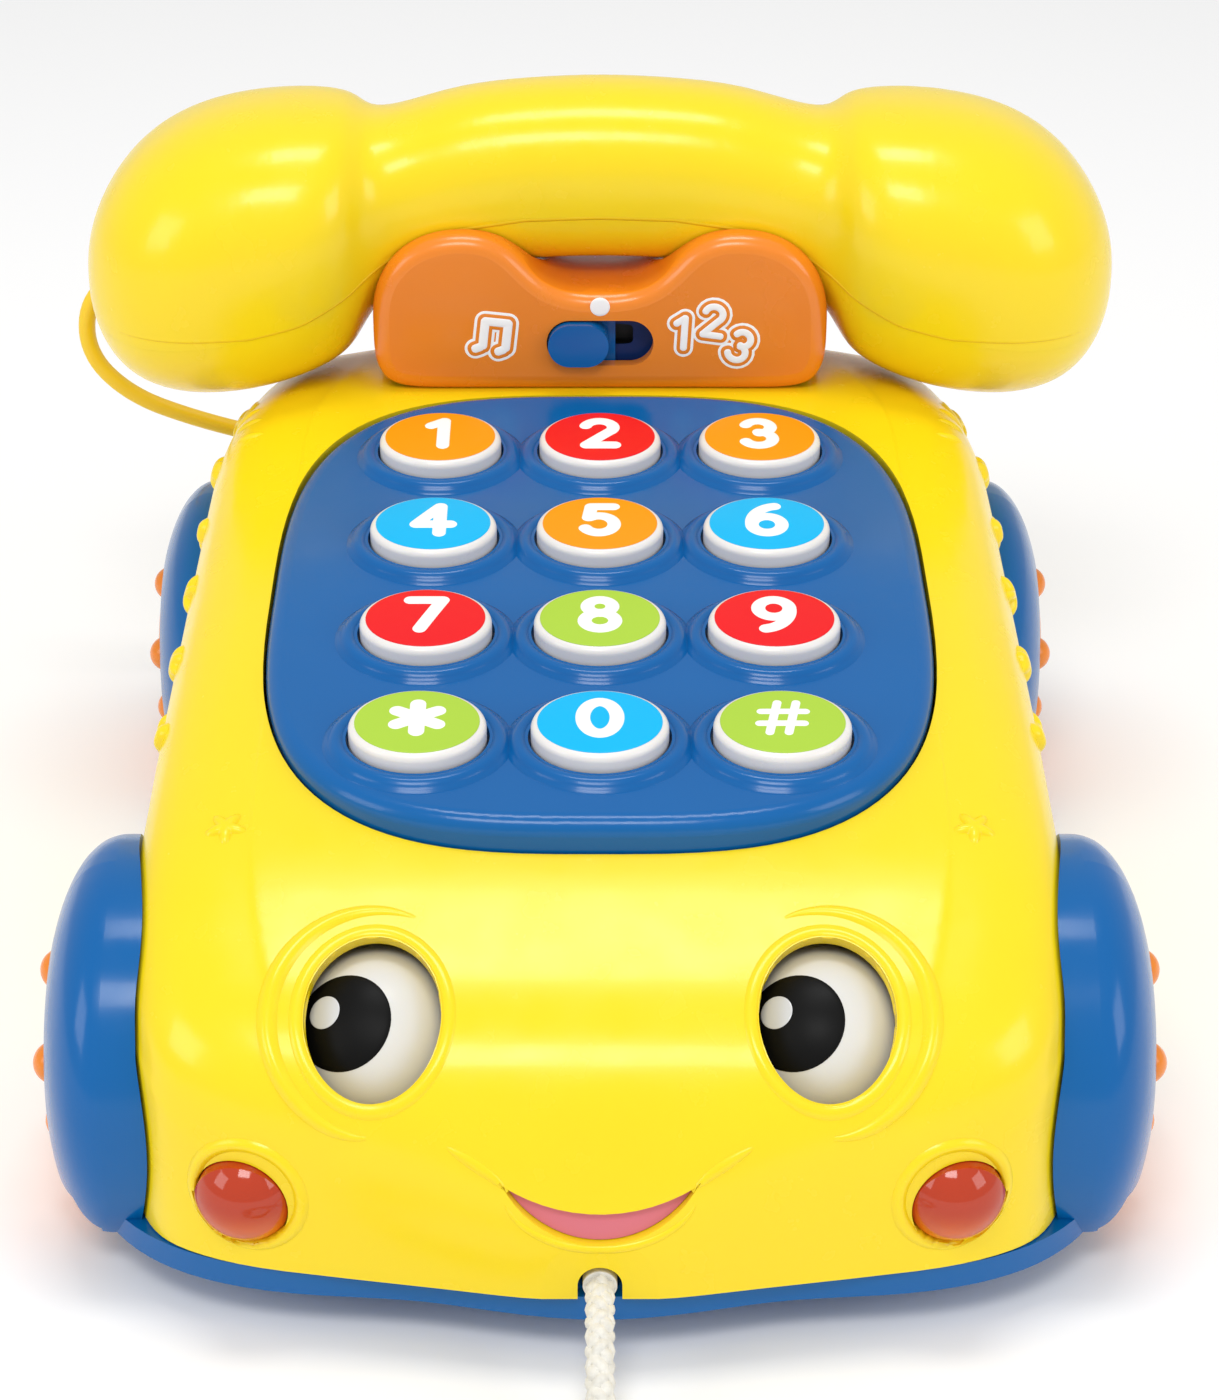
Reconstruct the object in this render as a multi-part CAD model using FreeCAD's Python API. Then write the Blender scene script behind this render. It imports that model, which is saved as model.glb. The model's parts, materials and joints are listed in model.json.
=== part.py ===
import FreeCAD, Part
import math
import os
from FreeCAD import Placement, Rotation, Vector

# A pull-along toy telephone shaped like a smiling car.  The face looks along -Y, +X is to the
# right as seen from the front, +Z is up.  Millimetres.  The origin is on the floor under the
# middle of the toy.

# ---- whole toy ----
HALF_LENGTH = 98.6
RIM_Z = 11.0
UNDERSIDE_Z = 7.0
FLOOR_TOP_Z = 9.2
WALL = 2.2
GAP = 0.4

# ---- casing: stations of y, half width at the rim, height of the roof, squareness of the arch ----
BODY_STATIONS = (
    (-98.6, 7.5, 19.6, 2.8),
    (-97.8, 13.5, 22.6, 3.0),
    (-96.6, 20.0, 26.0, 3.6),
    (-95.2, 28.0, 29.6, 4.2),
    (-93.6, 37.0, 33.2, 5.0),
    (-91.8, 45.5, 36.6, 5.8),
    (-89.2, 52.6, 40.2, 6.6),
    (-85.6, 58.0, 43.6, 7.4),
    (-80.6, 61.2, 47.0, 8.0),
    (-73.0, 63.4, 50.8, 8.4),
    (-62.0, 64.8, 55.6, 8.8),
    (-45.0, 65.2, 60.4, 9.0),
    (-25.0, 65.2, 64.6, 9.0),
    (0.0, 65.2, 68.6, 9.0),
    (30.0, 65.2, 73.0, 9.0),
    (52.0, 65.2, 75.8, 8.2),
    (68.0, 65.0, 76.0, 6.4),
    (80.0, 64.0, 74.4, 5.6),
    (88.5, 61.5, 70.4, 4.8),
    (94.5, 57.0, 62.6, 4.0),
    (97.6, 51.0, 53.0, 3.6),
    (98.6, 46.0, 46.0, 3.4),
)
BODY_DRAFT = 0.0004

# ---- keypad plate: its own frame lies on the sloping top face ----
PLATE_CENTRE = Vector(0, -4.4, 68.75)
PLATE_SLOPE = 8.0
PLATE_HALF_X = 48.2
PLATE_HALF_Y = 57.8
PLATE_EXPONENT = 3.2
PLATE_DEPTH = 7.0
PLATE_SKIN = 2.5

# ---- keys ----
KEY_HALF_X = 9.5
KEY_HALF_Y = 8.15
KEY_TOP = 3.5
KEY_FLANGE_TOP = -2.8
KEY_FLANGE_BOTTOM = -4.0
COLUMN_PITCH = 25.0
ROW_PITCH = 25.6
FRONT_ROW = -39.5
KEY_NAMES = (
    ("key_star", "key_0", "key_hash"),
    ("key_7", "key_8", "key_9"),
    ("key_4", "key_5", "key_6"),
    ("key_1", "key_2", "key_3"),
)
POST_ROWS = (FRONT_ROW + ROW_PITCH / 2, FRONT_ROW + ROW_PITCH * 2.5)
COLLAR_HALF_X = 12.0
COLLAR_HALF_Y = 10.6
COLLAR_TOP = 1.0
MEMBRANE_TOP = -7.2
MEMBRANE_BOTTOM = -8.0
BOARD_BOTTOM = -9.6

# ---- wheels and fenders ----
AXLE_Z = 23.0
AXLE_Y = {"front": -55.5, "rear": 70.2}
AXLE_R = 1.75
AXLE_CLEARANCE = 0.05
AXLE_HALF = 74.4
WHEEL_R = 23.0
WHEEL_INNER_X = 68.0
HUB_FACE_X = 76.3
FENDER_R = 28.4
FENDER_START_X = 65.6
FENDER_BULGE = 10.8
FENDER_EXPONENT = 2.3
FENDER_SKIN = 2.0
FENDER_INNER_WALL_X = 67.4
FENDER_WINDOW_R = 17.6

# ---- eyes: the eye frame leans back so that its Z runs up the bonnet ----
EYE_CENTRE = Vector(0, -73.9, 33.1)
EYE_LEAN = -50.0
EYE_X = 29.3
EYE_R = 14.0
EYE_OPENING_HALF_X = 8.9
EYE_OPENING_HALF_Z = 11.4
EYE_GAZE = -15.0
EYE_PIN_R = 1.5
EYE_PIN_END = 16.8
EYE_LEVER = 17.0
EYE_PEG_R = 1.2
BRACKET_NEAR = 14.4
BRACKET_FAR = 16.4
LINK_TOP = -6.0
LINK_BOTTOM = -8.5
SWASH_R = 8.5
SWASH_TILT = -27.0
SWASH_THICK = 2.4

# ---- headlights, mouth, cord notch ----
LENS_PLACE = Vector(46.7, -91.8, 20.8)
LENS_TURN = 10.0
LENS_DROP = 8.0
LENS_R = 6.25
MOUTH_HALF = 12.4
MOUTH_CORNER_Z = 26.8
MOUTH_TOP_Z = 23.4
MOUTH_LOW_Z = 19.6
NOTCH_HALF = 2.9
NOTCH_TOP_Z = 16.0

# ---- cradle and selector switch ----
CRADLE_HALF_X = 36.8
CRADLE_FRONT_Y = 54.6
CRADLE_REAR_Y = 91.0
CRADLE_FOOT_Z = 73.0
CRADLE_TOP_Z = 102.5
SADDLE_LOW_Z = 92.4
SWITCH_Z = 84.4
SWITCH_SLOT_HALF = 8.65
SWITCH_SLOT_R = 3.85
SWITCH_TRAVEL = 7.0
KNOB_HALF = 4.9

# ---- handset: stations of x, height of the middle, half depth, half height ----
HANDSET_Y = 73.0
HANDSET_STATIONS = (
    (0.0, 108.4, 14.3, 14.3),
    (12.0, 107.9, 14.3, 14.3),
    (24.0, 106.2, 14.4, 14.3),
    (33.0, 103.6, 15.0, 14.4),
    (37.6, 101.2, 17.6, 16.4),
    (41.0, 99.4, 21.6, 19.8),
    (46.0, 98.0, 24.4, 22.0),
    (53.0, 96.6, 25.5, 23.3),
    (61.0, 95.2, 25.6, 23.5),
    (69.0, 93.8, 24.5, 22.1),
    (76.0, 92.4, 20.8, 18.6),
    (81.2, 91.4, 14.4, 12.8),
    (84.0, 91.0, 6.4, 5.6),
)
HANDSET_EXPONENT = 2.3
HANDSET_WALL = 2.2
SEAM_Z = 87.0
SEAM_MIDDLE_Z = 104.0

# ---- batteries and speaker ----
CELL_R = 7.15
CELL_LENGTH = 50.0
CELL_PITCH = 15.2
BAY_Y = (-43.0, 4.0)
BAY_HALF_X = 29.5
BAY_TOP_Z = 25.0
DOOR_THICK = 1.8
DOOR_EAR_HALF = 6.0
DOOR_EAR_REACH = 9.5
DOOR_SCREW_FROM_BAY = 5.0
SPEAKER_Y = 34.0
SPEAKER_R = 20.0

# ---- screws through the base into the casing ----
SCREW_PLACES = ((-53.0, -22.0), (53.0, -22.0), (-53.0, 28.0), (53.0, 28.0), (-36.0, 88.0), (36.0, 88.0))
BOSS_R = 4.0
SCREW_R = 1.5
SCREW_HEAD_R = 3.0

# ---- cords ----
PULL_CORD_D = 4.2
PULL_CORD_POINTS = (
    Vector(0.0, -98.2, 12.8),
    Vector(0.0, -105.8, 12.0),
    Vector(0.0, -113.4, 7.2),
    Vector(0.3, -121.2, 2.6),
    Vector(0.8, -129.4, 2.1),
)
COIL_R = 24.0
COIL_CENTRE = Vector(-25.6, -141.5, 0.0)
HANDSET_CORD_D = 3.0
HANDSET_CORD_POINTS = (
    Vector(-74.0, 94.4, 84.6),
    Vector(-78.5, 102.4, 81.6),
    Vector(-85.0, 108.2, 77.8),
    Vector(-92.2, 110.0, 71.4),
    Vector(-92.4, 108.8, 61.8),
    Vector(-85.0, 107.6, 54.4),
    Vector(-73.5, 107.2, 50.0),
    Vector(-60.5, 107.8, 46.2),
    Vector(-46.5, 109.4, 41.4),
    Vector(-32.0, 112.0, 37.8),
    Vector(-18.5, 114.6, 35.8),
    Vector(-7.5, 113.4, 35.2),
    Vector(-1.2, 106.6, 35.6),
    Vector(0.0, 98.6, 36.0),
)


def power(value, exponent):
    return math.copysign(abs(value) ** exponent, value)


def box(x_range, y_range, z_range):
    corner = Vector(x_range[0], y_range[0], z_range[0])
    return Part.makeBox(x_range[1] - x_range[0], y_range[1] - y_range[0], z_range[1] - z_range[0], corner)


def rod(start, end, radius):
    along = end.sub(start)
    return Part.makeCylinder(radius, along.Length, start, along)


def both_sides(shape):
    return shape.fuse(shape.mirror(Vector(0, 0, 0), Vector(1, 0, 0)))


def oval_wire(half_x, half_y, z=0.0, exponent=2.0, count=40):
    """A closed superellipse in a level plane."""
    points = []
    for step in range(count):
        angle = 2 * math.pi * step / count
        x = half_x * power(math.cos(angle), 2 / exponent)
        y = half_y * power(math.sin(angle), 2 / exponent)
        points.append(Vector(x, y, z))
    curve = Part.BSplineCurve()
    curve.interpolate(Points=points, PeriodicFlag=True)
    return Part.Wire([curve.toShape()])


def oval_block(half_x, half_y, z_low, z_high, exponent=2.0):
    face = Part.Face(oval_wire(half_x, half_y, z_low, exponent))
    return face.extrude(Vector(0, 0, z_high - z_low))


def turned(profile):
    """A solid turned about the X axis from (x, radius) corners."""
    points = [Vector(x, 0, r) for x, r in profile]
    face = Part.Face(Part.makePolygon(points + [points[0]]))
    return face.revolve(Vector(0, 0, 0), Vector(1, 0, 0), 360)


def on_plate(shape):
    return shape.transformed(Placement(PLATE_CENTRE, Rotation(Vector(1, 0, 0), PLATE_SLOPE)).toMatrix())


def in_eye_frame(shape):
    return shape.transformed(Placement(EYE_CENTRE, Rotation(Vector(1, 0, 0), EYE_LEAN)).toMatrix())


# ---- the casing ----

def body_section(y, half_width, roof_z, squareness, low_z):
    """An arch across the body, closed by a straight sill."""
    steps = 24
    points = []
    for step in range(steps + 1):
        angle = math.pi * step / steps
        rise = (roof_z - low_z) * power(math.sin(angle), 2 / squareness)
        x = half_width * power(math.cos(angle), 2 / squareness) * (1 - BODY_DRAFT * rise)
        points.append(Vector(x, y, low_z + rise))
    points[0] = Vector(half_width, y, low_z)
    points[-1] = Vector(-half_width, y, low_z)
    curve = Part.BSplineCurve()
    curve.interpolate(Points=points, Parameters=[step / steps for step in range(steps + 1)])
    sill = Part.LineSegment(points[-1], points[0])
    return Part.Wire([curve.toShape(), sill.toShape()])


def body_form(inset, low_z):
    """The casing's outer form, made smaller all round by inset."""
    shrink = 1 - inset / HALF_LENGTH
    sections = []
    for y, half_width, roof_z, squareness in BODY_STATIONS:
        sections.append(body_section(y * shrink, half_width - inset, roof_z - inset, squareness, low_z))
    return Part.makeLoft(sections, True, False)


def plate_prism(grow, z_low, z_high):
    block = oval_block(PLATE_HALF_X + grow, PLATE_HALF_Y + grow, z_low, z_high, PLATE_EXPONENT)
    return on_plate(block)


def eye_openings():
    opening = oval_block(EYE_OPENING_HALF_X, EYE_OPENING_HALF_Z, 5, 25)
    opening.rotate(Vector(0, 0, 0), Vector(1, 0, 0), 90)
    opening.translate(Vector(EYE_X, 0, 0))
    return both_sides(in_eye_frame(opening))


def eye_room():
    room = Part.makeSphere(EYE_R + GAP, Vector(EYE_X, 0, 0))
    return both_sides(in_eye_frame(room))


def place_lens(shape):
    """Turns a shape built along -Y to face out of the right-hand headlight socket."""
    shape.rotate(Vector(0, 0, 0), Vector(1, 0, 0), LENS_DROP)
    shape.rotate(Vector(0, 0, 0), Vector(0, 0, 1), LENS_TURN)
    shape.translate(LENS_PLACE)
    return shape


def mouth_face(grow):
    left = Vector(-MOUTH_HALF - grow, 0, MOUTH_CORNER_Z + grow)
    right = Vector(MOUTH_HALF + grow, 0, MOUTH_CORNER_Z + grow)
    upper = Part.Arc(left, Vector(0, 0, MOUTH_TOP_Z + grow), right)
    lower = Part.Arc(right, Vector(0, 0, MOUTH_LOW_Z - grow), left)
    return Part.Face(Part.Wire([upper.toShape(), lower.toShape()]))


def screw_bosses():
    bosses = []
    for x, y in SCREW_PLACES:
        bosses.append(rod(Vector(x, y, FLOOR_TOP_Z + 0.1), Vector(x, y, RIM_Z + 70), BOSS_R))
    return bosses[0].fuse(bosses[1:])


def screw_shafts(radius, z_low, z_high):
    return [rod(Vector(x, y, z_low), Vector(x, y, z_high), radius) for x, y in SCREW_PLACES]


def top_shell():
    outer = body_form(0, RIM_Z)
    inner = body_form(WALL, RIM_Z - 5)
    bosses = screw_bosses().common(body_form(0.6, FLOOR_TOP_Z))
    shell = outer.cut(inner).fuse(bosses)
    cuts = [plate_prism(GAP, -40, 30), eye_openings(), eye_room()]
    lens_hole = place_lens(rod(Vector(0, 14, 0), Vector(0, -18, 0), LENS_R + 0.15))
    cuts.append(both_sides(lens_hole))
    cuts.append(mouth_face(0.15).extrude(Vector(0, 12, 0)).translated(Vector(0, -104, 0)))
    cuts.append(box((-NOTCH_HALF, NOTCH_HALF), (-104, -90), (RIM_Z - 4, NOTCH_TOP_Z - NOTCH_HALF)))
    notch_top = NOTCH_TOP_Z - NOTCH_HALF
    cuts.append(rod(Vector(0, -104, notch_top), Vector(0, -90, notch_top), NOTCH_HALF))
    cuts.append(box((-33, 33), (58.5, 87.5), (60, 90)))
    for y in AXLE_Y.values():
        slot = box((55, 70), (y - 2.6, y + 2.6), (RIM_Z - 4, AXLE_Z))
        cuts.append(both_sides(slot.fuse(rod(Vector(55, y, AXLE_Z), Vector(70, y, AXLE_Z), 2.6))))
    cuts.extend(screw_shafts(SCREW_R, 5, 26))
    cuts.append(body_gland_hole())
    return shell.cut(cuts)


def body_gland_hole():
    start, along = body_gland_line()
    return rod(start.sub(along * 8), start.add(along * 6), 3.0)


# ---- the base with its fenders ----

def base_outline(z):
    """The base plate's edge: bowed front, flared front corners, straight sides, round rear corners."""
    half = (
        Vector(0, -97.8, 0), Vector(12, -96.4, 0), Vector(24, -93.9, 0), Vector(38, -92.6, 0),
        Vector(49, -90.4, 0), Vector(58, -86.2, 0), Vector(65.4, -79.0, 0), Vector(69.6, -69.0, 0),
    )
    side = (Vector(69.6, -45, 0), Vector(65.2, -32, 0), Vector(65.2, 72, 0))
    rear = (Vector(65.2, 72, 0), Vector(60.4, 90.6, 0), Vector(45.0, 98.2, 0))
    left = [Vector(-p.x, p.y, 0) for p in half[:0:-1]]
    front = Part.BSplineCurve()
    front.interpolate(Points=left + list(half))
    edges = [front.toShape()]
    rear_arc = Part.Arc(*rear)
    for start, end in ((half[-1], side[0]), (side[0], side[1]), (side[1], side[2])):
        edges.append(Part.LineSegment(start, end).toShape())
        flipped = [Vector(-p.x, p.y, 0) for p in (start, end)]
        edges.append(Part.LineSegment(*flipped).toShape())
    edges.append(rear_arc.toShape())
    edges.append(Part.Arc(*[Vector(-p.x, p.y, 0) for p in rear]).toShape())
    edges.append(Part.LineSegment(rear[2], Vector(-rear[2].x, rear[2].y, 0)).toShape())
    wire = Part.Wire(Part.__sortEdges__(edges))
    return wire.translated(Vector(0, 0, z))


def fender_profile(radius, start_x, bulge, back_x):
    """Half of a fender's section: a flat back and a rounded outer cheek, as (x, radius)."""
    steps = 14
    profile = [(back_x, 0), (back_x, radius)]
    for step in range(steps + 1):
        angle = 0.5 * math.pi * step / steps
        x = start_x + bulge * power(math.sin(angle), 2 / FENDER_EXPONENT)
        profile.append((x, radius * power(math.cos(angle), 2 / FENDER_EXPONENT)))
    return profile


def fender_solid(profile, y):
    cheek = [Vector(x, 0, r) for x, r in profile[2:]]
    curve = Part.BSplineCurve()
    curve.interpolate(Points=cheek)
    back = [Vector(x, 0, r) for x, r in profile[:2]]
    straight = Part.makePolygon([cheek[-1], back[0], back[1], cheek[0]])
    face = Part.Face(Part.Wire([curve.toShape()] + straight.Edges))
    solid = face.revolve(Vector(0, 0, 0), Vector(1, 0, 0), 360)
    return solid.translated(Vector(0, y, AXLE_Z))


def fender(y):
    outer = fender_solid(fender_profile(FENDER_R, FENDER_START_X, FENDER_BULGE, 54), y)
    cavity_profile = fender_profile(
        FENDER_R - FENDER_SKIN, FENDER_START_X, FENDER_BULGE - FENDER_SKIN, FENDER_INNER_WALL_X)
    cavity_profile = [point for point in cavity_profile if point[0] >= FENDER_INNER_WALL_X]
    cavity_profile[1] = (FENDER_INNER_WALL_X, cavity_profile[2][1])
    cavity = fender_solid(cavity_profile, y)
    window = rod(Vector(70, y, AXLE_Z), Vector(90, y, AXLE_Z), FENDER_WINDOW_R)
    below = box((50, 90), (y - 40, y + 40), (-20, UNDERSIDE_Z))
    return outer.cut([cavity, window, below])


def battery_bay_walls():
    wall = 1.6
    return box((-BAY_HALF_X - wall, BAY_HALF_X + wall), (BAY_Y[0] - wall, BAY_Y[1] + wall),
               (UNDERSIDE_Z, BAY_TOP_Z + wall))


def battery_bay_room():
    return box((-BAY_HALF_X, BAY_HALF_X), BAY_Y, (UNDERSIDE_Z - 1, BAY_TOP_Z))


def speaker_grille():
    holes = []
    for ring, count in ((0, 1), (5.5, 6), (11, 12)):
        for index in range(count):
            angle = 2 * math.pi * index / count
            x = ring * math.cos(angle)
            y = SPEAKER_Y + ring * math.sin(angle)
            holes.append(rod(Vector(x, y, 0), Vector(x, y, 15), 1.4))
    return holes


def bearing_plates():
    """Upright plates inside the body that carry the axles."""
    plates = []
    for y in AXLE_Y.values():
        for x in (-50.0, 48.0):
            plates.append(box((x, x + 2), (y - 6, y + 6), (FLOOR_TOP_Z - 0.5, AXLE_Z + 5)))
    return plates


def chassis_base():
    tray = Part.Face(base_outline(UNDERSIDE_Z)).extrude(Vector(0, 0, RIM_Z - 0.3 - UNDERSIDE_Z))
    lip = body_form(WALL + GAP, UNDERSIDE_Z + 1).common(box((-70, 70), (-100, 100), (UNDERSIDE_Z, RIM_Z + 3)))
    tray = tray.fuse(lip).cut(body_form(WALL + 2.0, FLOOR_TOP_Z))
    parts = [tray, battery_bay_walls(), door_screw_pad()] + bearing_plates()
    body = body_form(-GAP, RIM_Z - 0.3)
    for y in AXLE_Y.values():
        side = fender(y).cut(body)
        parts.append(side)
        parts.append(side.mirror(Vector(0, 0, 0), Vector(1, 0, 0)))
    base = parts[0].fuse(parts[1:])
    cuts = [battery_bay_room()] + speaker_grille()
    for y in AXLE_Y.values():
        cuts.append(rod(Vector(-90, y, AXLE_Z), Vector(90, y, AXLE_Z), AXLE_R + AXLE_CLEARANCE))
        well = box((FENDER_INNER_WALL_X, 90), (y - 23.8, y + 23.8), (-20, UNDERSIDE_Z + 6))
        cuts.append(both_sides(well))
    cuts.extend(screw_shafts(SCREW_R + 0.2, 0, 20))
    cuts.extend(screw_shafts(SCREW_HEAD_R + 0.2, 0, UNDERSIDE_Z + 1.2))
    cuts.append(rod(Vector(0, -104, 12.8), Vector(0, -87, 12.8), NOTCH_HALF))
    cuts.extend([door_ear(GAP / 2, UNDERSIDE_Z - 1), door_screw_hole()])
    return base.cut(cuts)


def door_ear(grow, z_low):
    """The battery door's screw tab, let into the base so that the underside stays flat."""
    half = DOOR_EAR_HALF + grow
    return box((-half, half), (BAY_Y[1] - 1, BAY_Y[1] + DOOR_EAR_REACH + grow),
               (z_low, UNDERSIDE_Z + DOOR_THICK + grow))


def door_screw_pad():
    """A thick place in the floor above the tab, for the screw to bite in."""
    z_low = UNDERSIDE_Z + DOOR_THICK
    return box((-DOOR_EAR_HALF - 1.5, DOOR_EAR_HALF + 1.5), (BAY_Y[1], BAY_Y[1] + DOOR_EAR_REACH),
               (z_low, z_low + 5))


def door_screw_hole():
    y = BAY_Y[1] + DOOR_SCREW_FROM_BAY
    return rod(Vector(0, y, 0), Vector(0, y, 20), 1.3)


def battery_door():
    door = box((-BAY_HALF_X + 0.3, BAY_HALF_X - 0.3), (BAY_Y[0] + 0.3, BAY_Y[1] - 0.3),
               (UNDERSIDE_Z, UNDERSIDE_Z + DOOR_THICK))
    y = BAY_Y[1] + DOOR_SCREW_FROM_BAY
    head_room = rod(Vector(0, y, 0), Vector(0, y, UNDERSIDE_Z + 1.1), 2.8)
    return door.fuse(door_ear(0, UNDERSIDE_Z)).cut([door_screw_hole(), head_room])


def battery_door_screw():
    y = BAY_Y[1] + DOOR_SCREW_FROM_BAY
    head = rod(Vector(0, y, UNDERSIDE_Z + 0.1), Vector(0, y, UNDERSIDE_Z + 1.1), 2.6)
    slot = box((-3, 3), (y - 0.4, y + 0.4), (UNDERSIDE_Z - 1, UNDERSIDE_Z + 0.5))
    shaft = rod(Vector(0, y, UNDERSIDE_Z + 1.1), Vector(0, y, UNDERSIDE_Z + 6), 1.2)
    return head.fuse(shaft).cut(slot)


def battery_cells():
    cells = []
    for index in range(3):
        y = BAY_Y[0] + 8.3 + CELL_PITCH * index
        flip = 1 if index % 2 else -1
        can = rod(Vector(-CELL_LENGTH / 2, y, 17.0), Vector(CELL_LENGTH / 2, y, 17.0), CELL_R)
        end = Vector(flip * CELL_LENGTH / 2, y, 17.0)
        cells.append(can.fuse(rod(end, end.add(Vector(flip, 0, 0)), 2.7)))
    return Part.Compound(cells)


def battery_contacts():
    plates = []
    for index in range(3):
        y = BAY_Y[0] + 8.3 + CELL_PITCH * index
        for side in (-1, 1):
            x = side * (BAY_HALF_X - 0.6)
            plates.append(box((min(x, x + side * 0.5), max(x, x + side * 0.5)), (y - 5, y + 5), (11, 23)))
    return Part.Compound(plates)


def housing_screws():
    screws = []
    for x, y in SCREW_PLACES:
        head = rod(Vector(x, y, UNDERSIDE_Z + 0.1), Vector(x, y, UNDERSIDE_Z + 1.2), SCREW_HEAD_R)
        shaft = rod(Vector(x, y, UNDERSIDE_Z + 1.2), Vector(x, y, 22), SCREW_R - 0.02)
        slot = box((x - 2.4, x + 2.4), (y - 0.4, y + 0.4), (UNDERSIDE_Z - 1, UNDERSIDE_Z + 0.5))
        screws.append(head.fuse(shaft).cut(slot))
    return Part.Compound(screws)


def speaker():
    frame = rod(Vector(0, SPEAKER_Y, FLOOR_TOP_Z), Vector(0, SPEAKER_Y, FLOOR_TOP_Z + 2.5), SPEAKER_R)
    cone = Part.makeCone(SPEAKER_R - 2, 10, 6, Vector(0, SPEAKER_Y, FLOOR_TOP_Z + 2.5))
    magnet = rod(Vector(0, SPEAKER_Y, FLOOR_TOP_Z + 8.5), Vector(0, SPEAKER_Y, FLOOR_TOP_Z + 13), 9)
    hollow = Part.makeCone(15, 5, 5, Vector(0, SPEAKER_Y, FLOOR_TOP_Z))
    return frame.fuse([cone, magnet]).cut(hollow)


# ---- wheels ----

def wheel(side, y):
    tread = [
        (WHEEL_INNER_X, 0), (WHEEL_INNER_X, WHEEL_R - 0.6), (WHEEL_INNER_X + 0.6, WHEEL_R),
        (69.6, WHEEL_R), (70.5, 22.0), (71.2, 20.0), (71.5, 17.0), (73.2, 16.2), (75.0, 13.2),
        (76.0, 9.0), (HUB_FACE_X, 0),
    ]
    disc = turned(tread)
    bumps = []
    for index in range(5):
        angle = 2 * math.pi * index / 5 + 0.35
        centre = Vector(74.2, 11.4 * math.cos(angle), 11.4 * math.sin(angle))
        bumps.append(Part.makeSphere(3.0, centre))
    disc = disc.fuse(bumps)
    disc = disc.cut(rod(Vector(60, 0, 0), Vector(AXLE_HALF, 0, 0), AXLE_R))
    disc.translate(Vector(0, y, AXLE_Z))
    if side < 0:
        disc = disc.mirror(Vector(0, 0, 0), Vector(1, 0, 0))
    return disc


def axle(y):
    return rod(Vector(-AXLE_HALF, y, AXLE_Z), Vector(AXLE_HALF, y, AXLE_Z), AXLE_R)


def swash_disc():
    """The tilted disc on the front axle that rocks the eyes."""
    disc = rod(Vector(-SWASH_THICK / 2, 0, 0), Vector(SWASH_THICK / 2, 0, 0), SWASH_R - 0.6)
    disc.rotate(Vector(0, 0, 0), Vector(0, 0.75, -0.66), SWASH_TILT)
    hub = rod(Vector(-4.5, 0, 0), Vector(4.5, 0, 0), 3.4)
    disc = disc.fuse(hub).cut(rod(Vector(-10, 0, 0), Vector(10, 0, 0), AXLE_R))
    return disc.translated(Vector(0, AXLE_Y["front"], AXLE_Z))


# ---- eyes ----

def eye(side):
    ball = Part.makeSphere(EYE_R)
    pin = rod(Vector(0, 0, -EYE_PIN_END), Vector(0, 0, EYE_PIN_END), EYE_PIN_R)
    lever = box((-2, 2), (11, EYE_LEVER + 2), (-5.4, -3.4))
    peg = rod(Vector(0, EYE_LEVER, -9.2), Vector(0, EYE_LEVER, -4), EYE_PEG_R)
    solid = ball.fuse([pin, lever, peg])
    solid.rotate(Vector(0, 0, 0), Vector(0, 0, 1), EYE_GAZE)
    return in_eye_frame(solid.translated(Vector(side * EYE_X, 0, 0)))


def eye_bracket():
    near = box((-36, 36), (-4, 4), (BRACKET_NEAR, BRACKET_FAR))
    far = box((-36, 36), (-4, 4), (-BRACKET_FAR, -BRACKET_NEAR))
    post = box((-5, 5), (-4, 4), (-BRACKET_FAR, BRACKET_FAR))
    bores = [rod(Vector(x, 0, -20), Vector(x, 0, 20), EYE_PIN_R + 0.05) for x in (-EYE_X, EYE_X)]
    frame = in_eye_frame(near.fuse([far, post]).cut(bores))
    foot = box((-9, 9), (-88, -81), (FLOOR_TOP_Z + 0.05, 22.0))
    return frame.fuse(foot).cut(box((-4, 4), (-95, -84.5), (0, 17)))


def eye_link():
    shift = EYE_LEVER * math.sin(math.radians(-EYE_GAZE))
    bar = box((-EYE_X - 4 + shift, EYE_X + 4 + shift), (14.0, 20.0), (LINK_BOTTOM, LINK_TOP))
    slots = []
    for x in (-EYE_X + shift, EYE_X + shift):
        slots.append(box((x - EYE_PEG_R - 0.1, x + EYE_PEG_R + 0.1), (15, 18.6), (-12, 0)))
    tines = []
    for x in (shift - 4.6, shift + 2.4):
        tines.append(box((x, x + 2.2), (17.0, 20.0), (LINK_TOP, -1.8)))
    return in_eye_frame(bar.fuse(tines).cut(slots))


# ---- face trim ----

def headlight_lens():
    dome = Part.makeSphere(7.2, Vector(0, 3.9, 0)).common(rod(Vector(0, 2, 0), Vector(0, -9, 0), LENS_R))
    tube = rod(Vector(0, 8.5, 0), Vector(0, 0.5, 0), LENS_R)
    flange = rod(Vector(0, 8.5, 0), Vector(0, 7.0, 0), LENS_R + 1.2)
    hollow = rod(Vector(0, 9, 0), Vector(0, 2.2, 0), LENS_R - 1.4)
    return place_lens(dome.fuse([tube, flange]).cut(hollow))


def headlight_leds():
    bulb = rod(Vector(0, 11.5, 0), Vector(0, 7.0, 0), 2.4).fuse(Part.makeSphere(2.4, Vector(0, 7.0, 0)))
    board = box((-5, 5), (11.5, 12.7), (-4, 4))
    led = place_lens(bulb.fuse(board))
    return Part.Compound([led, led.mirror(Vector(0, 0, 0), Vector(1, 0, 0))])


def mouth_insert():
    lips = mouth_face(0).extrude(Vector(0, 5, 0)).translated(Vector(0, -98.0, 0))
    outside = body_form(1.0, RIM_Z)
    lips = lips.common(outside)
    return lips


# ---- keypad ----

def key_places():
    for row, names in enumerate(KEY_NAMES):
        for column, name in enumerate(names):
            yield name, (column - 1) * COLUMN_PITCH, FRONT_ROW + row * ROW_PITCH


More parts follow.
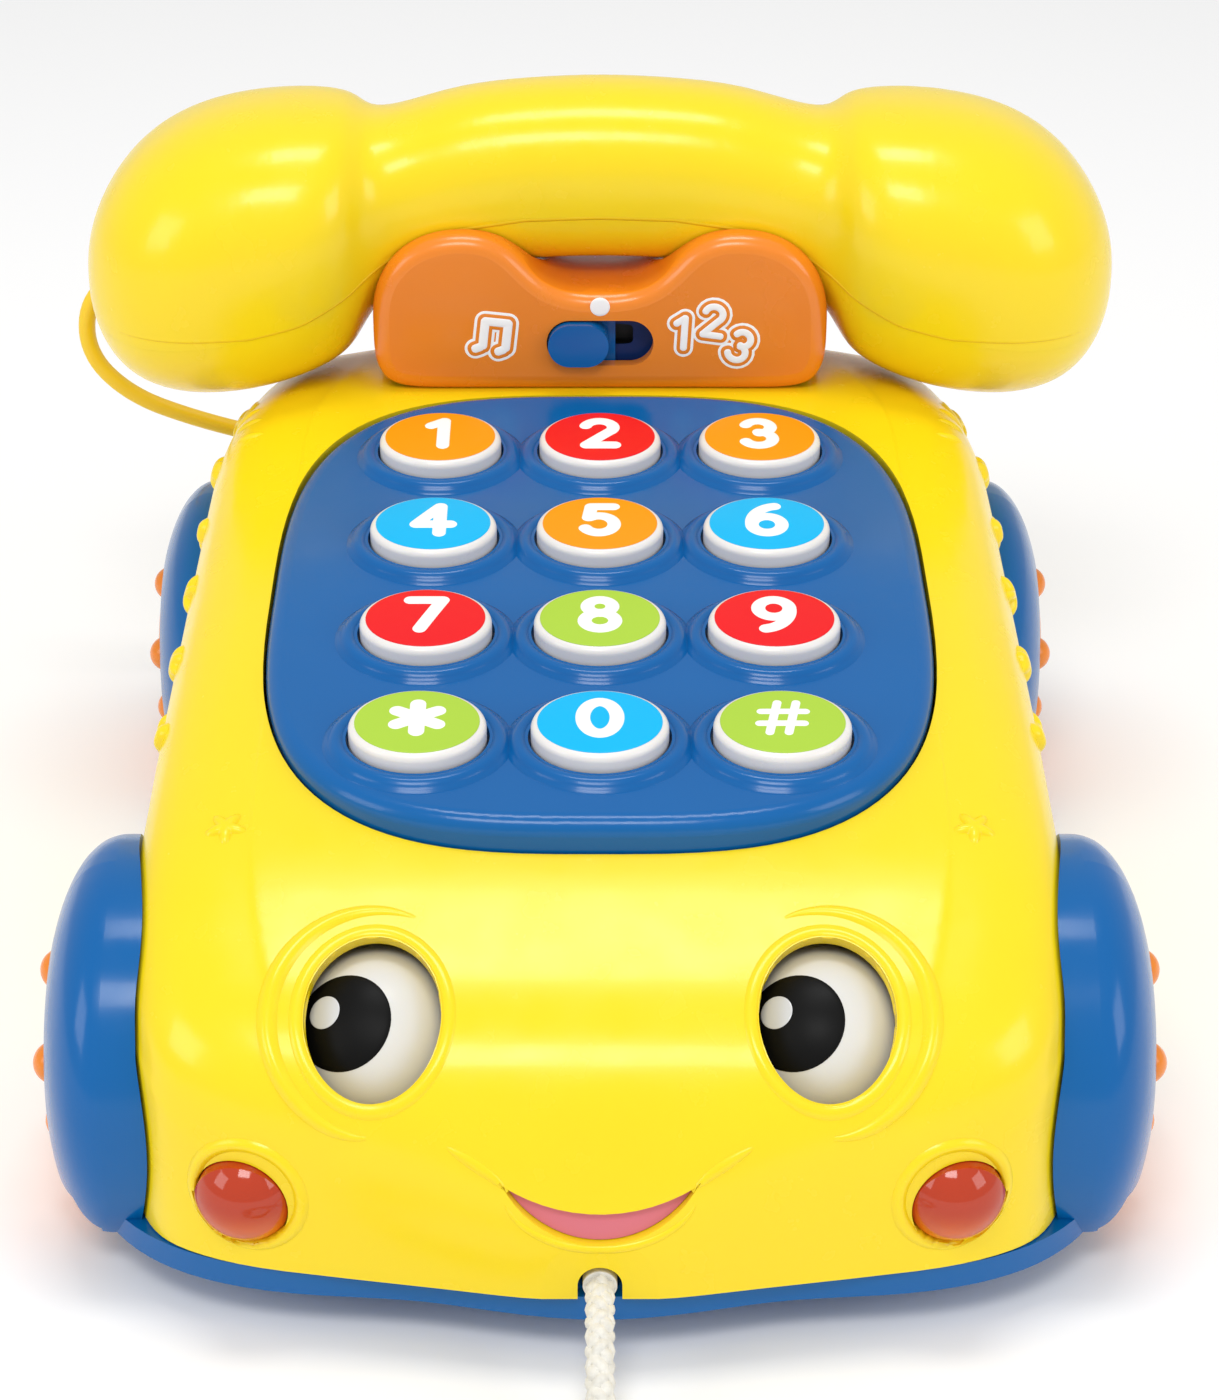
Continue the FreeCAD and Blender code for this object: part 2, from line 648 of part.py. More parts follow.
def keypad_plate():
    block = oval_block(PLATE_HALF_X, PLATE_HALF_Y, -PLATE_DEPTH, 0, PLATE_EXPONENT)
    top_edges = [edge for edge in block.Edges if edge.BoundBox.ZMin > -0.1]
    block = block.makeFillet(2.4, top_edges)
    hollow = oval_block(PLATE_HALF_X - 2.6, PLATE_HALF_Y - 2.6, -PLATE_DEPTH - 1, -PLATE_SKIN, PLATE_EXPONENT)
    collars = []
    holes = []
    for _, x, y in key_places():
        collar = oval_block(COLLAR_HALF_X, COLLAR_HALF_Y, -PLATE_SKIN, COLLAR_TOP)
        collar = collar.makeChamfer(0.8, [e for e in collar.Edges if e.BoundBox.ZMin > COLLAR_TOP - 0.1])
        collars.append(collar.translated(Vector(x, y, 0)))
        hole = oval_block(KEY_HALF_X + GAP, KEY_HALF_Y + GAP, -10, 5)
        holes.append(hole.translated(Vector(x, y, 0)))
    posts = []
    for x in (-12.5, 12.5):
        for y in POST_ROWS:
            posts.append(rod(Vector(x, y, -PLATE_SKIN), Vector(x, y, MEMBRANE_BOTTOM), 2.4))
    plate = block.cut(hollow).fuse(collars + posts).cut(holes)
    return on_plate(plate)


def key(x, y):
    cap = oval_block(KEY_HALF_X, KEY_HALF_Y, KEY_FLANGE_BOTTOM, KEY_TOP)
    cap = cap.makeFillet(1.1, [e for e in cap.Edges if e.BoundBox.ZMin > KEY_TOP - 0.1])
    flange = oval_block(KEY_HALF_X + 1.3, KEY_HALF_Y + 1.3, KEY_FLANGE_BOTTOM, KEY_FLANGE_TOP)
    return on_plate(cap.fuse(flange).translated(Vector(x, y, 0)))


def key_membrane():
    sheet = oval_block(PLATE_HALF_X - 5, PLATE_HALF_Y - 6, MEMBRANE_BOTTOM, MEMBRANE_TOP, PLATE_EXPONENT)
    domes = []
    for _, x, y in key_places():
        domes.append(rod(Vector(x, y, MEMBRANE_TOP), Vector(x, y, MEMBRANE_TOP + 0.8), 4.5))
    holes = []
    for x in (-12.5, 12.5):
        for y in POST_ROWS:
            holes.append(rod(Vector(x, y, -12), Vector(x, y, 0), 3.0))
    return on_plate(sheet.fuse(domes).cut(holes))


def circuit_board():
    board = oval_block(PLATE_HALF_X - 5, PLATE_HALF_Y - 6, BOARD_BOTTOM, MEMBRANE_BOTTOM, PLATE_EXPONENT)
    chip = box((-7, 7), (-6, 8), (BOARD_BOTTOM - 1.6, BOARD_BOTTOM))
    return on_plate(board.fuse(chip))


# ---- cradle and switch ----

def handset_form(inset):
    """The whole handset as one closed form, made smaller all round by inset."""
    stations = [(-x, z, a, b) for x, z, a, b in reversed(HANDSET_STATIONS[1:])] + list(HANDSET_STATIONS)
    shrink = 1 - inset / HANDSET_STATIONS[-1][0]
    sections = []
    for x, z, half_y, half_z in stations:
        wire = oval_wire(half_y - inset, half_z - inset, 0, HANDSET_EXPONENT, 28)
        wire.rotate(Vector(0, 0, 0), Vector(1, 1, 1), 120)
        sections.append(wire.translated(Vector(x * shrink, HANDSET_Y, z)))
    return Part.makeLoft(sections, True, False)


def pill(centre_x, half_length, radius, y_low, y_high):
    """A bar with round ends, lying across the cradle at the switch's height."""
    reach = half_length - radius
    bar = box((centre_x - reach, centre_x + reach), (y_low, y_high), (SWITCH_Z - radius, SWITCH_Z + radius))
    ends = []
    for x in (centre_x - reach, centre_x + reach):
        ends.append(rod(Vector(x, y_low, SWITCH_Z), Vector(x, y_high, SWITCH_Z), radius))
    return bar.fuse(ends)


def switch_slot(y_low, y_high):
    return pill(0, SWITCH_SLOT_HALF, SWITCH_SLOT_R, y_low, y_high)


def cradle_front_outline():
    """The front view of the cradle: a dip in the middle between two round horns."""
    x = CRADLE_HALF_X
    top = CRADLE_TOP_Z
    right = (
        Vector(6.0, 0, SADDLE_LOW_Z + 0.5), Vector(10.5, 0, 95.6), Vector(13.5, 0, 99.3),
        Vector(17.0, 0, 101.7), Vector(22.0, 0, top), Vector(28.0, 0, 101.6), Vector(33.0, 0, 98.6),
        Vector(36.0, 0, 94.0), Vector(x, 0, 88.0),
    )
    left = [Vector(-p.x, 0, p.z) for p in reversed(right)]
    curve = Part.BSplineCurve()
    curve.interpolate(Points=left + [Vector(0, 0, SADDLE_LOW_Z)] + list(right))
    low_right = Vector(x, 0, CRADLE_FOOT_Z)
    low_left = Vector(-x, 0, CRADLE_FOOT_Z)
    lines = Part.makePolygon([right[-1], low_right, low_left, left[0]])
    return Part.Face(Part.Wire([curve.toShape()] + lines.Edges))


def cradle_panel():
    depth = CRADLE_REAR_Y - CRADLE_FRONT_Y
    block = cradle_front_outline().extrude(Vector(0, depth, 0)).translated(Vector(0, CRADLE_FRONT_Y, 0))
    rear_cut = box((-50, 50), (HANDSET_Y, 100), (SADDLE_LOW_Z, 120))
    block = block.cut([handset_form(-0.35), rear_cut])
    hollow = box((-CRADLE_HALF_X + 2.4, CRADLE_HALF_X - 2.4),
                 (CRADLE_FRONT_Y + 2.4, CRADLE_REAR_Y - 2.4), (60, 81.5))
    switch_room = box((-14.5, 14.5), (CRADLE_FRONT_Y + 2.4, CRADLE_FRONT_Y + 13), (60, SWITCH_Z + 5.8))
    block = block.cut([hollow, switch_room, switch_slot(CRADLE_FRONT_Y - 5, CRADLE_FRONT_Y + 5)])
    return block.cut(body_form(0, RIM_Z))


def slide_switch_body():
    back = CRADLE_FRONT_Y + 2.4
    case = box((-13, 13), (back + 2.2, back + 8), (SWITCH_Z - 5, SWITCH_Z + 5))
    feet = [box((x, x + 2.5), (back, back + 3), (SWITCH_Z - 5, SWITCH_Z + 5)) for x in (-13, 10.5)]
    groove = box((-9, 9), (back + 2, back + 5), (SWITCH_Z - 2, SWITCH_Z + 2))
    return case.fuse(feet).cut(groove)


def switch_knob():
    back = CRADLE_FRONT_Y + 2.4
    centre = -SWITCH_TRAVEL / 2
    grip = pill(centre, KNOB_HALF, SWITCH_SLOT_R - 0.3, CRADLE_FRONT_Y - 1.6, back)
    shoe = box((centre - 6.0, centre + 6.0), (back + 0.3, back + 1.8), (SWITCH_Z - 4.6, SWITCH_Z + 4.6))
    stem = box((centre - 1.5, centre + 1.5), (back - 1, back + 4.4), (SWITCH_Z - 1.5, SWITCH_Z + 1.5))
    return grip.fuse([shoe, stem])


# ---- handset ----

def below_seam():
    """Everything under the handset's seam, which rises from the ends into the grip."""
    x = HANDSET_STATIONS[-1][0] + 5
    points = [Vector(-x, 0, SEAM_Z - 1), Vector(-56, 0, SEAM_Z), Vector(-40, 0, SEAM_Z + 6),
              Vector(-24, 0, SEAM_MIDDLE_Z - 2), Vector(0, 0, SEAM_MIDDLE_Z)]
    points = points + [Vector(-p.x, 0, p.z) for p in reversed(points[:-1])]
    curve = Part.BSplineCurve()
    curve.interpolate(Points=points)
    lines = Part.makePolygon([points[-1], Vector(x, 0, 40), Vector(-x, 0, 40), points[0]])
    face = Part.Face(Part.Wire([curve.toShape()] + lines.Edges))
    return face.extrude(Vector(0, 80, 0)).translated(Vector(0, HANDSET_Y - 40, 0))


def handset_posts():
    posts = []
    for x in (-58.0, 58.0):
        posts.append(rod(Vector(x, HANDSET_Y, 60), Vector(x, HANDSET_Y, 130), 3.6))
    return posts


def handset_bores(radius, z_low, z_high):
    return [rod(Vector(x, HANDSET_Y, z_low), Vector(x, HANDSET_Y, z_high), radius) for x in (-58.0, 58.0)]


def handset_shells():
    outer = handset_form(0)
    posts = handset_posts()
    wall = outer.cut(handset_form(HANDSET_WALL))
    solid = wall.fuse([post.common(handset_form(1.0)) for post in posts])
    start, along = handset_gland_line()
    solid = solid.cut(rod(start.sub(along * 8), start.add(along * 6), 3.0))
    solid = solid.cut(handset_bores(1.5, 60, 100))
    solid = solid.cut(handset_bores(3.2, 60, 76.5))
    low = below_seam()
    return solid.cut(low), solid.common(low)


def handset_screws():
    screws = []
    for x in (-58.0, 58.0):
        head = rod(Vector(x, HANDSET_Y, 75.0), Vector(x, HANDSET_Y, 76.5), 3.0)
        shaft = rod(Vector(x, HANDSET_Y, 76.5), Vector(x, HANDSET_Y, 98.0), 1.48)
        slot = box((x - 2.4, x + 2.4), (HANDSET_Y - 0.4, HANDSET_Y + 0.4), (74, 75.7))
        screws.append(head.fuse(shaft).cut(slot))
    return Part.Compound(screws)


# ---- cords ----

def cord_path(points):
    """Straight runs joined by tangent arcs, each as large as its two runs allow."""
    edges = []
    radii = []
    here = points[0]
    for before, corner, after in zip(points, points[1:], points[2:]):
        inward = corner.sub(before)
        outward = after.sub(corner)
        turn = inward.getAngle(outward)
        reach = 0.45 * min(inward.Length, outward.Length)
        radius = reach / math.tan(turn / 2)
        radii.append(radius)
        inward.normalize()
        outward.normalize()
        arc_start = corner.sub(inward * reach)
        arc_end = corner.add(outward * reach)
        towards = outward.sub(inward)
        towards.normalize()
        depth = radius / math.cos(turn / 2) - radius
        middle = corner.add(towards * depth)
        edges.append(Part.LineSegment(here, arc_start).toShape())
        edges.append(Part.Arc(arc_start, middle, arc_end).toShape())
        here = arc_end
    edges.append(Part.LineSegment(here, points[-1]).toShape())
    return Part.Wire(edges), radii


def cord_tube(name, points, diameter):
    path, radii = cord_path(points)
    along = points[1].sub(points[0])
    section = Part.Wire([Part.Circle(points[0], along, diameter / 2).toShape()])
    tube = path.makePipeShell([section], True, False)
    expected = math.pi * diameter ** 2 / 4 * path.Length
    print(name, "length", round(path.Length, 1), "radii", [round(r, 1) for r in radii],
          "volume over section times length", round(tube.Volume / expected, 4))
    return tube


def body_gland_line():
    """Where the handset cord enters the casing, and the direction it leaves in."""
    along = HANDSET_CORD_POINTS[-2].sub(HANDSET_CORD_POINTS[-1])
    along.normalize()
    return HANDSET_CORD_POINTS[-1], along


def handset_gland_line():
    along = HANDSET_CORD_POINTS[1].sub(HANDSET_CORD_POINTS[0])
    along.normalize()
    return HANDSET_CORD_POINTS[0], along


def cord_gland(line):
    """A stepped plug that grips the cord's end in a casing wall."""
    end, along = line
    flange = rod(end.sub(along * 1.2), end, 3.0)
    barrel = rod(end.sub(along * 7.0), end.sub(along * 1.2), 2.4)
    return barrel.fuse(flange)


def pull_cord_coil():
    inner = COIL_R - PULL_CORD_D
    outer = COIL_R + PULL_CORD_D
    ring = rod(COIL_CENTRE, COIL_CENTRE.add(Vector(0, 0, PULL_CORD_D)), outer)
    return ring.cut(rod(COIL_CENTRE, COIL_CENTRE.add(Vector(0, 0, PULL_CORD_D)), inner))


def knot(centre, half_length, radius):
    ball = Part.makeSphere(radius, centre)
    side = rod(centre.sub(Vector(0, half_length, 0)), centre.add(Vector(0, half_length, 0)), radius * 0.8)
    return ball.fuse(side)


def write(name, shape):
    shape = shape.removeSplitter() if shape.ShapeType != "Compound" or len(shape.Solids) == 1 else shape
    solids = shape.Solids
    volume = sum(solid.Volume for solid in solids)
    print(name, "solids", len(solids), "valid", shape.isValid(), "cm3", round(volume / 1000, 2))
    shape.exportStep("parts/" + name + ".step")


def main():
    os.makedirs("parts", exist_ok=True)
    write("top_shell", top_shell())
    write("chassis_base", chassis_base())
    write("battery_door", battery_door())
    write("battery_door_screw", battery_door_screw())
    write("battery_cells", battery_cells())
    write("battery_contacts", battery_contacts())
    write("housing_screws", housing_screws())
    write("speaker", speaker())
    for place, y in AXLE_Y.items():
        write(place + "_axle", axle(y))
        write("wheel_" + place + "_left", wheel(-1, y))
        write("wheel_" + place + "_right", wheel(1, y))
    write("eye_swash_disc", swash_disc())
    write("eye_left", eye(-1))
    write("eye_right", eye(1))
    write("eye_bracket", eye_bracket())
    write("eye_link", eye_link())
    write("headlight_lens_right", headlight_lens())
    write("headlight_lens_left", headlight_lens().mirror(Vector(0, 0, 0), Vector(1, 0, 0)))
    write("headlight_leds", headlight_leds())
    write("mouth_insert", mouth_insert())
    write("keypad_plate", keypad_plate())
    for name, x, y in key_places():
        write(name, key(x, y))
    write("key_membrane", key_membrane())
    write("circuit_board", circuit_board())
    write("cradle_panel", cradle_panel())
    write("slide_switch_body", slide_switch_body())
    write("switch_knob", switch_knob())
    upper, lower = handset_shells()
    write("handset_upper_shell", upper)
    write("handset_lower_shell", lower)
    write("handset_screws", handset_screws())
    write("handset_cord", cord_tube("handset_cord", HANDSET_CORD_POINTS, HANDSET_CORD_D))
    write("handset_cord_gland", cord_gland(handset_gland_line()))
    write("body_cord_gland", cord_gland(body_gland_line()))
    write("pull_cord", cord_tube("pull_cord", PULL_CORD_POINTS, PULL_CORD_D))
    write("pull_cord_coil", pull_cord_coil())
    write("pull_cord_anchor", knot(Vector(0, -93.0, 12.8), 5.2, 2.8))
    write("pull_cord_knot", knot(COIL_CENTRE.add(Vector(-15.0, 0, 4.0)), 6.0, 4.0))


main()
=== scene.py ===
import json
import math

import bmesh
import bpy
import numpy as np
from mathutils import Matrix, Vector
from mathutils.bvhtree import BVHTree


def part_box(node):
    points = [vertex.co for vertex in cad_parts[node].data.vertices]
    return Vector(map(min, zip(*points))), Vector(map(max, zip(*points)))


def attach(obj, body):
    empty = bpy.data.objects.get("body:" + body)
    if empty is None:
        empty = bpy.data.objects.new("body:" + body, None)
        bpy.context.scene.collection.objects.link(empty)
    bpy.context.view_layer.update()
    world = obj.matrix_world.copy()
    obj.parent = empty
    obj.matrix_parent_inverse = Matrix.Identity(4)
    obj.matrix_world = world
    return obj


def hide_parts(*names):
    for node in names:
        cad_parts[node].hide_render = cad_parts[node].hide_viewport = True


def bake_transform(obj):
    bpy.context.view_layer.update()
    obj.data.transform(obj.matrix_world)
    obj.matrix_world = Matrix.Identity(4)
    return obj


# A pull-along toy telephone shaped like a smiling car. Shapes are worked out in millimetres in
# the CAD frame (face along -Y, +Z up) and turned into metres where a mesh is made.

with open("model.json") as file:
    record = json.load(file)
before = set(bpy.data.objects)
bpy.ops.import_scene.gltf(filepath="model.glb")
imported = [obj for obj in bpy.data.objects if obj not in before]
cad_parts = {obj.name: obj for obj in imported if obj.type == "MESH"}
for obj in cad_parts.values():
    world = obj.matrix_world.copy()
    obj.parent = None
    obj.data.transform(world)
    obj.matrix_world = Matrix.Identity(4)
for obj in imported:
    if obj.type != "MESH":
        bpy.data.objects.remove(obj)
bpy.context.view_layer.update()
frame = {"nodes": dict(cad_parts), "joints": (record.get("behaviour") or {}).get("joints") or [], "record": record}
MM = 0.001
scene = bpy.context.scene
joints = {joint["name"]: joint for joint in frame["joints"]}


def node_box(name):
    """Lowest and highest corner of a CAD node, in millimetres."""
    low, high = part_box(name)
    return np.array(low) / MM, np.array(high) / MM


def joint_place(name):
    return np.array(joints[name]["pos_m"]) / MM


# ---- camera, floor and light ----

VIEW_ELEVATION = math.radians(27.15)
VIEW_DISTANCE = 0.470
VIEW_TARGET = Vector((0.0, -0.0082, 0.0517))
SENSOR_LONG_SIDE = 24.0
FOCAL_LENGTH = 54.1
SIDE_SHIFT = 0.0068
NEAREST_SEEN = 0.01


def make_camera():
    data = bpy.data.cameras.new("camera")
    data.sensor_width = SENSOR_LONG_SIDE
    data.lens = FOCAL_LENGTH
    data.shift_x = SIDE_SHIFT
    data.clip_start = NEAREST_SEEN
    data.dof.use_dof = False
    camera = bpy.data.objects.new("camera", data)
    towards = Vector((0, math.cos(VIEW_ELEVATION), -math.sin(VIEW_ELEVATION)))
    camera.location = VIEW_TARGET - towards * VIEW_DISTANCE
    camera.rotation_euler = (math.pi / 2 - VIEW_ELEVATION, 0, 0)
    scene.collection.objects.link(camera)
    scene.camera = camera


FLOOR_REACH = 30.0
FLOOR_CELLS = 24


def make_floor():
    """A pale sheet of paper that reaches far past the view."""
    cells = FLOOR_CELLS
    steps = [-FLOOR_REACH + 2 * FLOOR_REACH * i / cells for i in range(cells + 1)]
    verts = [(x, y, 0.0) for y in steps for x in steps]
    faces = []
    for row in range(cells):
        for i in range(cells):
            low = row * (cells + 1) + i
            faces.append((low, low + 1, low + cells + 2, low + cells + 1))
    mesh = bpy.data.meshes.new("studio_floor")
    mesh.from_pydata(verts, [], faces)
    floor = bpy.data.objects.new("studio_floor", mesh)
    scene.collection.objects.link(floor)
    paper = bpy.data.materials.new("studio_paper")
    paper.use_nodes = True
    shader = paper.node_tree.nodes["Principled BSDF"]
    shader.inputs["Base Color"].default_value = (0.97, 0.97, 0.97, 1)
    shader.inputs["Roughness"].default_value = 0.9
    shader.inputs["Specular IOR Level"].default_value = 0.05
    mesh.materials.append(paper)


LIGHT_AIM = Vector((0, 0, 0.05))
WORLD_STRENGTH = 0.64
# Each softbox's name, place, size in metres and power in watts.
SOFTBOXES = (
    ("key_light", (-0.10, -0.75, 1.05), (0.50, 0.28), 3.8),
    ("fill_right", (0.95, -0.55, 0.55), (0.5, 0.5), 2.2),
    ("fill_left", (-0.95, -0.55, 0.55), (0.5, 0.5), 2.2),
    ("top_light", (0.0, 0.05, 1.2), (0.5, 0.25), 3.2),
)


def softbox(name, place, size, power):
    light = bpy.data.lights.new(name, "AREA")
    light.shape = "RECTANGLE"
    light.size, light.size_y = size
    light.energy = power
    lamp = bpy.data.objects.new(name, light)
    lamp.location = place
    aim = LIGHT_AIM - Vector(place)
    lamp.rotation_euler = aim.to_track_quat("-Z", "Y").to_euler()
    scene.collection.objects.link(lamp)


def make_light():
    for name, place, size, power in SOFTBOXES:
        softbox(name, place, size, power)
    world = bpy.data.worlds.new("studio")
    world.use_nodes = True
    world.node_tree.nodes["Background"].inputs["Color"].default_value = (1, 1, 1, 1)
    world.node_tree.nodes["Background"].inputs["Strength"].default_value = WORLD_STRENGTH
    scene.world = world
    scene.view_settings.view_transform = "Standard"


make_camera()
make_floor()
make_light()


# ---- materials ----

NOISE_LOW = 0.3
NOISE_HIGH = 0.7
PATCH_SCALE = 45
GLOSS_SCALE = 160
PEEL_SCALE = 900
PEEL_DEPTH = 0.00004
CAD_CREASE_ANGLE = 32


def new_shader(name):
    mat = bpy.data.materials.new(name)
    mat.use_nodes = True
    tree = mat.node_tree
    return mat, tree, tree.nodes["Principled BSDF"]


def noise(tree, scale, detail=2.0):
    """Noise laid out in the object's own space."""
    coords = tree.nodes.new("ShaderNodeTexCoord")
    texture = tree.nodes.new("ShaderNodeTexNoise")
    texture.inputs["Scale"].default_value = scale
    texture.inputs["Detail"].default_value = detail
    tree.links.new(coords.outputs["Object"], texture.inputs["Vector"])
    return texture.outputs["Fac"]


def spread(tree, value, low, high):
    """The noise's middle band stretched to run from low to high."""
    remap = tree.nodes.new("ShaderNodeMapRange")
    remap.inputs["From Min"].default_value = NOISE_LOW
    remap.inputs["From Max"].default_value = NOISE_HIGH
    remap.inputs["To Min"].default_value = low
    remap.inputs["To Max"].default_value = high
    tree.links.new(value, remap.inputs["Value"])
    return remap.outputs["Result"]


def tint(tree, value, first, second):
    mix = tree.nodes.new("ShaderNodeMix")
    mix.data_type = "RGBA"
    mix.inputs["A"].default_value = (*first, 1)
    mix.inputs["B"].default_value = (*second, 1)
    tree.links.new(spread(tree, value, 0.0, 1.0), mix.inputs["Factor"])
    return mix.outputs["Result"]


def relief(tree, shader, value, strength, depth):
    bump = tree.nodes.new("ShaderNodeBump")
    bump.inputs["Strength"].default_value = strength
    bump.inputs["Distance"].default_value = depth
    tree.links.new(value, bump.inputs["Height"])
    tree.links.new(bump.outputs["Normal"], shader.inputs["Normal"])


def plastic(name, colour, rough=0.25, coat=0.0, glow=0.0, peel=0.07, shade=0.02, shine=0.5):
    """Moulded plastic: a slightly uneven colour, uneven gloss and a fine orange-peel skin."""
    mat, tree, shader = new_shader(name)
    darker = [c * (1 - shade) for c in colour]
    lighter = [min(1.0, c * (1 + shade * 0.5)) for c in colour]
    patches = tint(tree, noise(tree, PATCH_SCALE, 3), darker, lighter)
    tree.links.new(patches, shader.inputs["Base Color"])
    gloss = spread(tree, noise(tree, GLOSS_SCALE, 4), rough - 0.04, rough + 0.05)
    tree.links.new(gloss, shader.inputs["Roughness"])
    relief(tree, shader, noise(tree, PEEL_SCALE, 1), peel, PEEL_DEPTH)
    shader.inputs["Specular IOR Level"].default_value = shine
    shader.inputs["Coat Weight"].default_value = coat
    shader.inputs["Coat Roughness"].default_value = 0.08
    shader.inputs["Subsurface Weight"].default_value = glow
    shader.inputs["Subsurface Scale"].default_value = 0.002
    shader.inputs["Subsurface Radius"].default_value = (1.0, 0.6, 0.2)
    return mat


def metal(name, colour, rough):
    """Drawn or plated metal with a faint grain."""
    mat, tree, shader = new_shader(name)
    darker = [c * 0.8 for c in colour]
    patches = tint(tree, noise(tree, 220, 3), darker, colour)
    tree.links.new(patches, shader.inputs["Base Color"])
    gloss = spread(tree, noise(tree, 600, 3), rough - 0.08, rough + 0.1)
    tree.links.new(gloss, shader.inputs["Roughness"])
    relief(tree, shader, noise(tree, 1500, 2), 0.2, 0.00003)
    shader.inputs["Metallic"].default_value = 1.0
    return mat


def lens_plastic(name, upper, lower, height, span):
    """Clear tinted plastic with painted light: a brighter glow colour towards its lower edge."""
    mat, tree, shader = new_shader(name)
    coords = tree.nodes.new("ShaderNodeTexCoord")
    split = tree.nodes.new("ShaderNodeSeparateXYZ")
    tree.links.new(coords.outputs["Object"], split.inputs["Vector"])
    rise = tree.nodes.new("ShaderNodeMapRange")
    rise.interpolation_type = "SMOOTHSTEP"
    rise.inputs["From Min"].default_value = height - span
    rise.inputs["From Max"].default_value = height + span
    tree.links.new(split.outputs["Z"], rise.inputs["Value"])
    mix = tree.nodes.new("ShaderNodeMix")
    mix.data_type = "RGBA"
    mix.inputs["B"].default_value = (*upper, 1)
    tree.links.new(tint(tree, noise(tree, 260, 3), lower, [c * 0.8 for c in lower]), mix.inputs["A"])
    tree.links.new(rise.outputs["Result"], mix.inputs["Factor"])
    tree.links.new(mix.outputs["Result"], shader.inputs["Base Color"])
    tree.links.new(spread(tree, noise(tree, 300, 2), 0.05, 0.10), shader.inputs["Roughness"])
    relief(tree, shader, noise(tree, 700, 1), 0.05, 0.00003)
    shader.inputs["Coat Weight"].default_value = 0.10
    shader.inputs["Coat Roughness"].default_value = 0.05
    return mat


def fibre(name, colour):
    """Spun polyester: fine threads run along each strand."""
    mat, tree, shader = new_shader(name)
    darker = [c * 0.82 for c in colour]
    tree.links.new(tint(tree, noise(tree, 900, 5), darker, colour), shader.inputs["Base Color"])
    relief(tree, shader, noise(tree, 3200, 4), 0.5, 0.00015)
    shader.inputs["Roughness"].default_value = 0.75
    shader.inputs["Sheen Weight"].default_value = 0.35
    shader.inputs["Sheen Roughness"].default_value = 0.5
    return mat


seam_yellow = plastic("seam_yellow", (0.80, 0.52, 0.006), rough=0.35, shine=0.2)
dark_blue = plastic("slot_blue", (0.008, 0.035, 0.17), rough=0.35, shine=0.3)
yellow = plastic("yellow_abs", (0.93, 0.69, 0.008), rough=0.24, coat=0.10, glow=0.08, peel=0.03,
                 shade=0.012, shine=0.38)
blue = plastic("blue_abs", (0.0, 0.112, 0.365), rough=0.20, coat=0.10, shine=0.3)
orange = plastic("orange_abs", (0.84, 0.235, 0.012), rough=0.24, coat=0.15, glow=0.05)
off_white = plastic("key_white", (0.80, 0.77, 0.74), rough=0.30, coat=0.10, glow=0.08)
print_white = plastic("print_white", (0.95, 0.95, 0.93), rough=0.45, peel=0.2, shade=0.02)
eye_white = plastic("eye_white", (0.70, 0.69, 0.655), rough=0.34, coat=0.05, glow=0.05, shine=0.3)
eye_glint = plastic("eye_glint", (0.62, 0.63, 0.64), rough=0.3, coat=0.3)
eye_black = plastic("eye_black", (0.003, 0.003, 0.003), rough=0.42, peel=0.05, shine=0.12)
pink = plastic("mouth_pink", (0.68, 0.17, 0.22), rough=0.40)
lens_low, lens_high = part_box("headlight_lens_right")
# Painted light: below this height the lens takes the brighter orange glow colour.
LENS_GLOW_HEIGHT = lens_low[2] + 0.30 * (lens_high[2] - lens_low[2])
LENS_GLOW_SPAN = 0.0034
amber = lens_plastic("amber_lens", (0.46, 0.036, 0.006), (0.84, 0.17, 0.010),
                     LENS_GLOW_HEIGHT, LENS_GLOW_SPAN)
satin_white = plastic("satin_white", (0.78, 0.78, 0.76), rough=0.45)
black = plastic("switch_black", (0.02, 0.02, 0.02), rough=0.5)
rubber = plastic("grey_rubber", (0.40, 0.40, 0.41), rough=0.65, peel=0.3)
board = plastic("board_green", (0.02, 0.16, 0.05), rough=0.35, peel=0.3)
jacket = plastic("cell_jacket", (0.04, 0.04, 0.05), rough=0.3, coat=0.4)
steel = metal("zinc_steel", (0.62, 0.62, 0.63), 0.30)
nickel = metal("nickel_spring", (0.72, 0.70, 0.66), 0.22)
dark_metal = metal("speaker_steel", (0.20, 0.20, 0.21), 0.40)
# Painted light: below this height the LED takes a brighter glow colour.
LED_GLOW_HEIGHT = 0.021
LED_GLOW_SPAN = 0.002
led_red = lens_plastic("led_epoxy", (0.80, 0.12, 0.06), (0.85, 0.25, 0.10),
                       LED_GLOW_HEIGHT, LED_GLOW_SPAN)
soft_yellow = plastic("cord_pvc", (0.90, 0.60, 0.012), rough=0.42, glow=0.15, peel=0.25)
rope_white = fibre("rope_polyester", (0.84, 0.82, 0.75))
KEY_COLOURS = {
    "orange": plastic("print_orange", (0.90, 0.31, 0.004), rough=0.34, shine=0.2),
    "red": plastic("print_red", (0.80, 0.008, 0.014), rough=0.34, shine=0.2),
    "cyan": plastic("print_cyan", (0.0, 0.46, 0.85), rough=0.34, shine=0.2),
    "green": plastic("print_green", (0.40, 0.62, 0.055), rough=0.34, shine=0.2),
}
SLOT_MATERIALS = {
    "yellow_plastic": yellow, "blue_plastic": blue, "orange_plastic": orange,
    "white_plastic": satin_white, "key_white": off_white, "eye_white": eye_white,
    "amber_lens": amber, "pink_plastic": pink, "black_plastic": black, "grey_rubber": rubber,
    "board_green": board, "cell_jacket": jacket, "spring_steel": nickel, "steel": steel,
    "speaker_metal": dark_metal, "led": led_red, "yellow_cord": soft_yellow,
    "white_rope": rope_white,
}


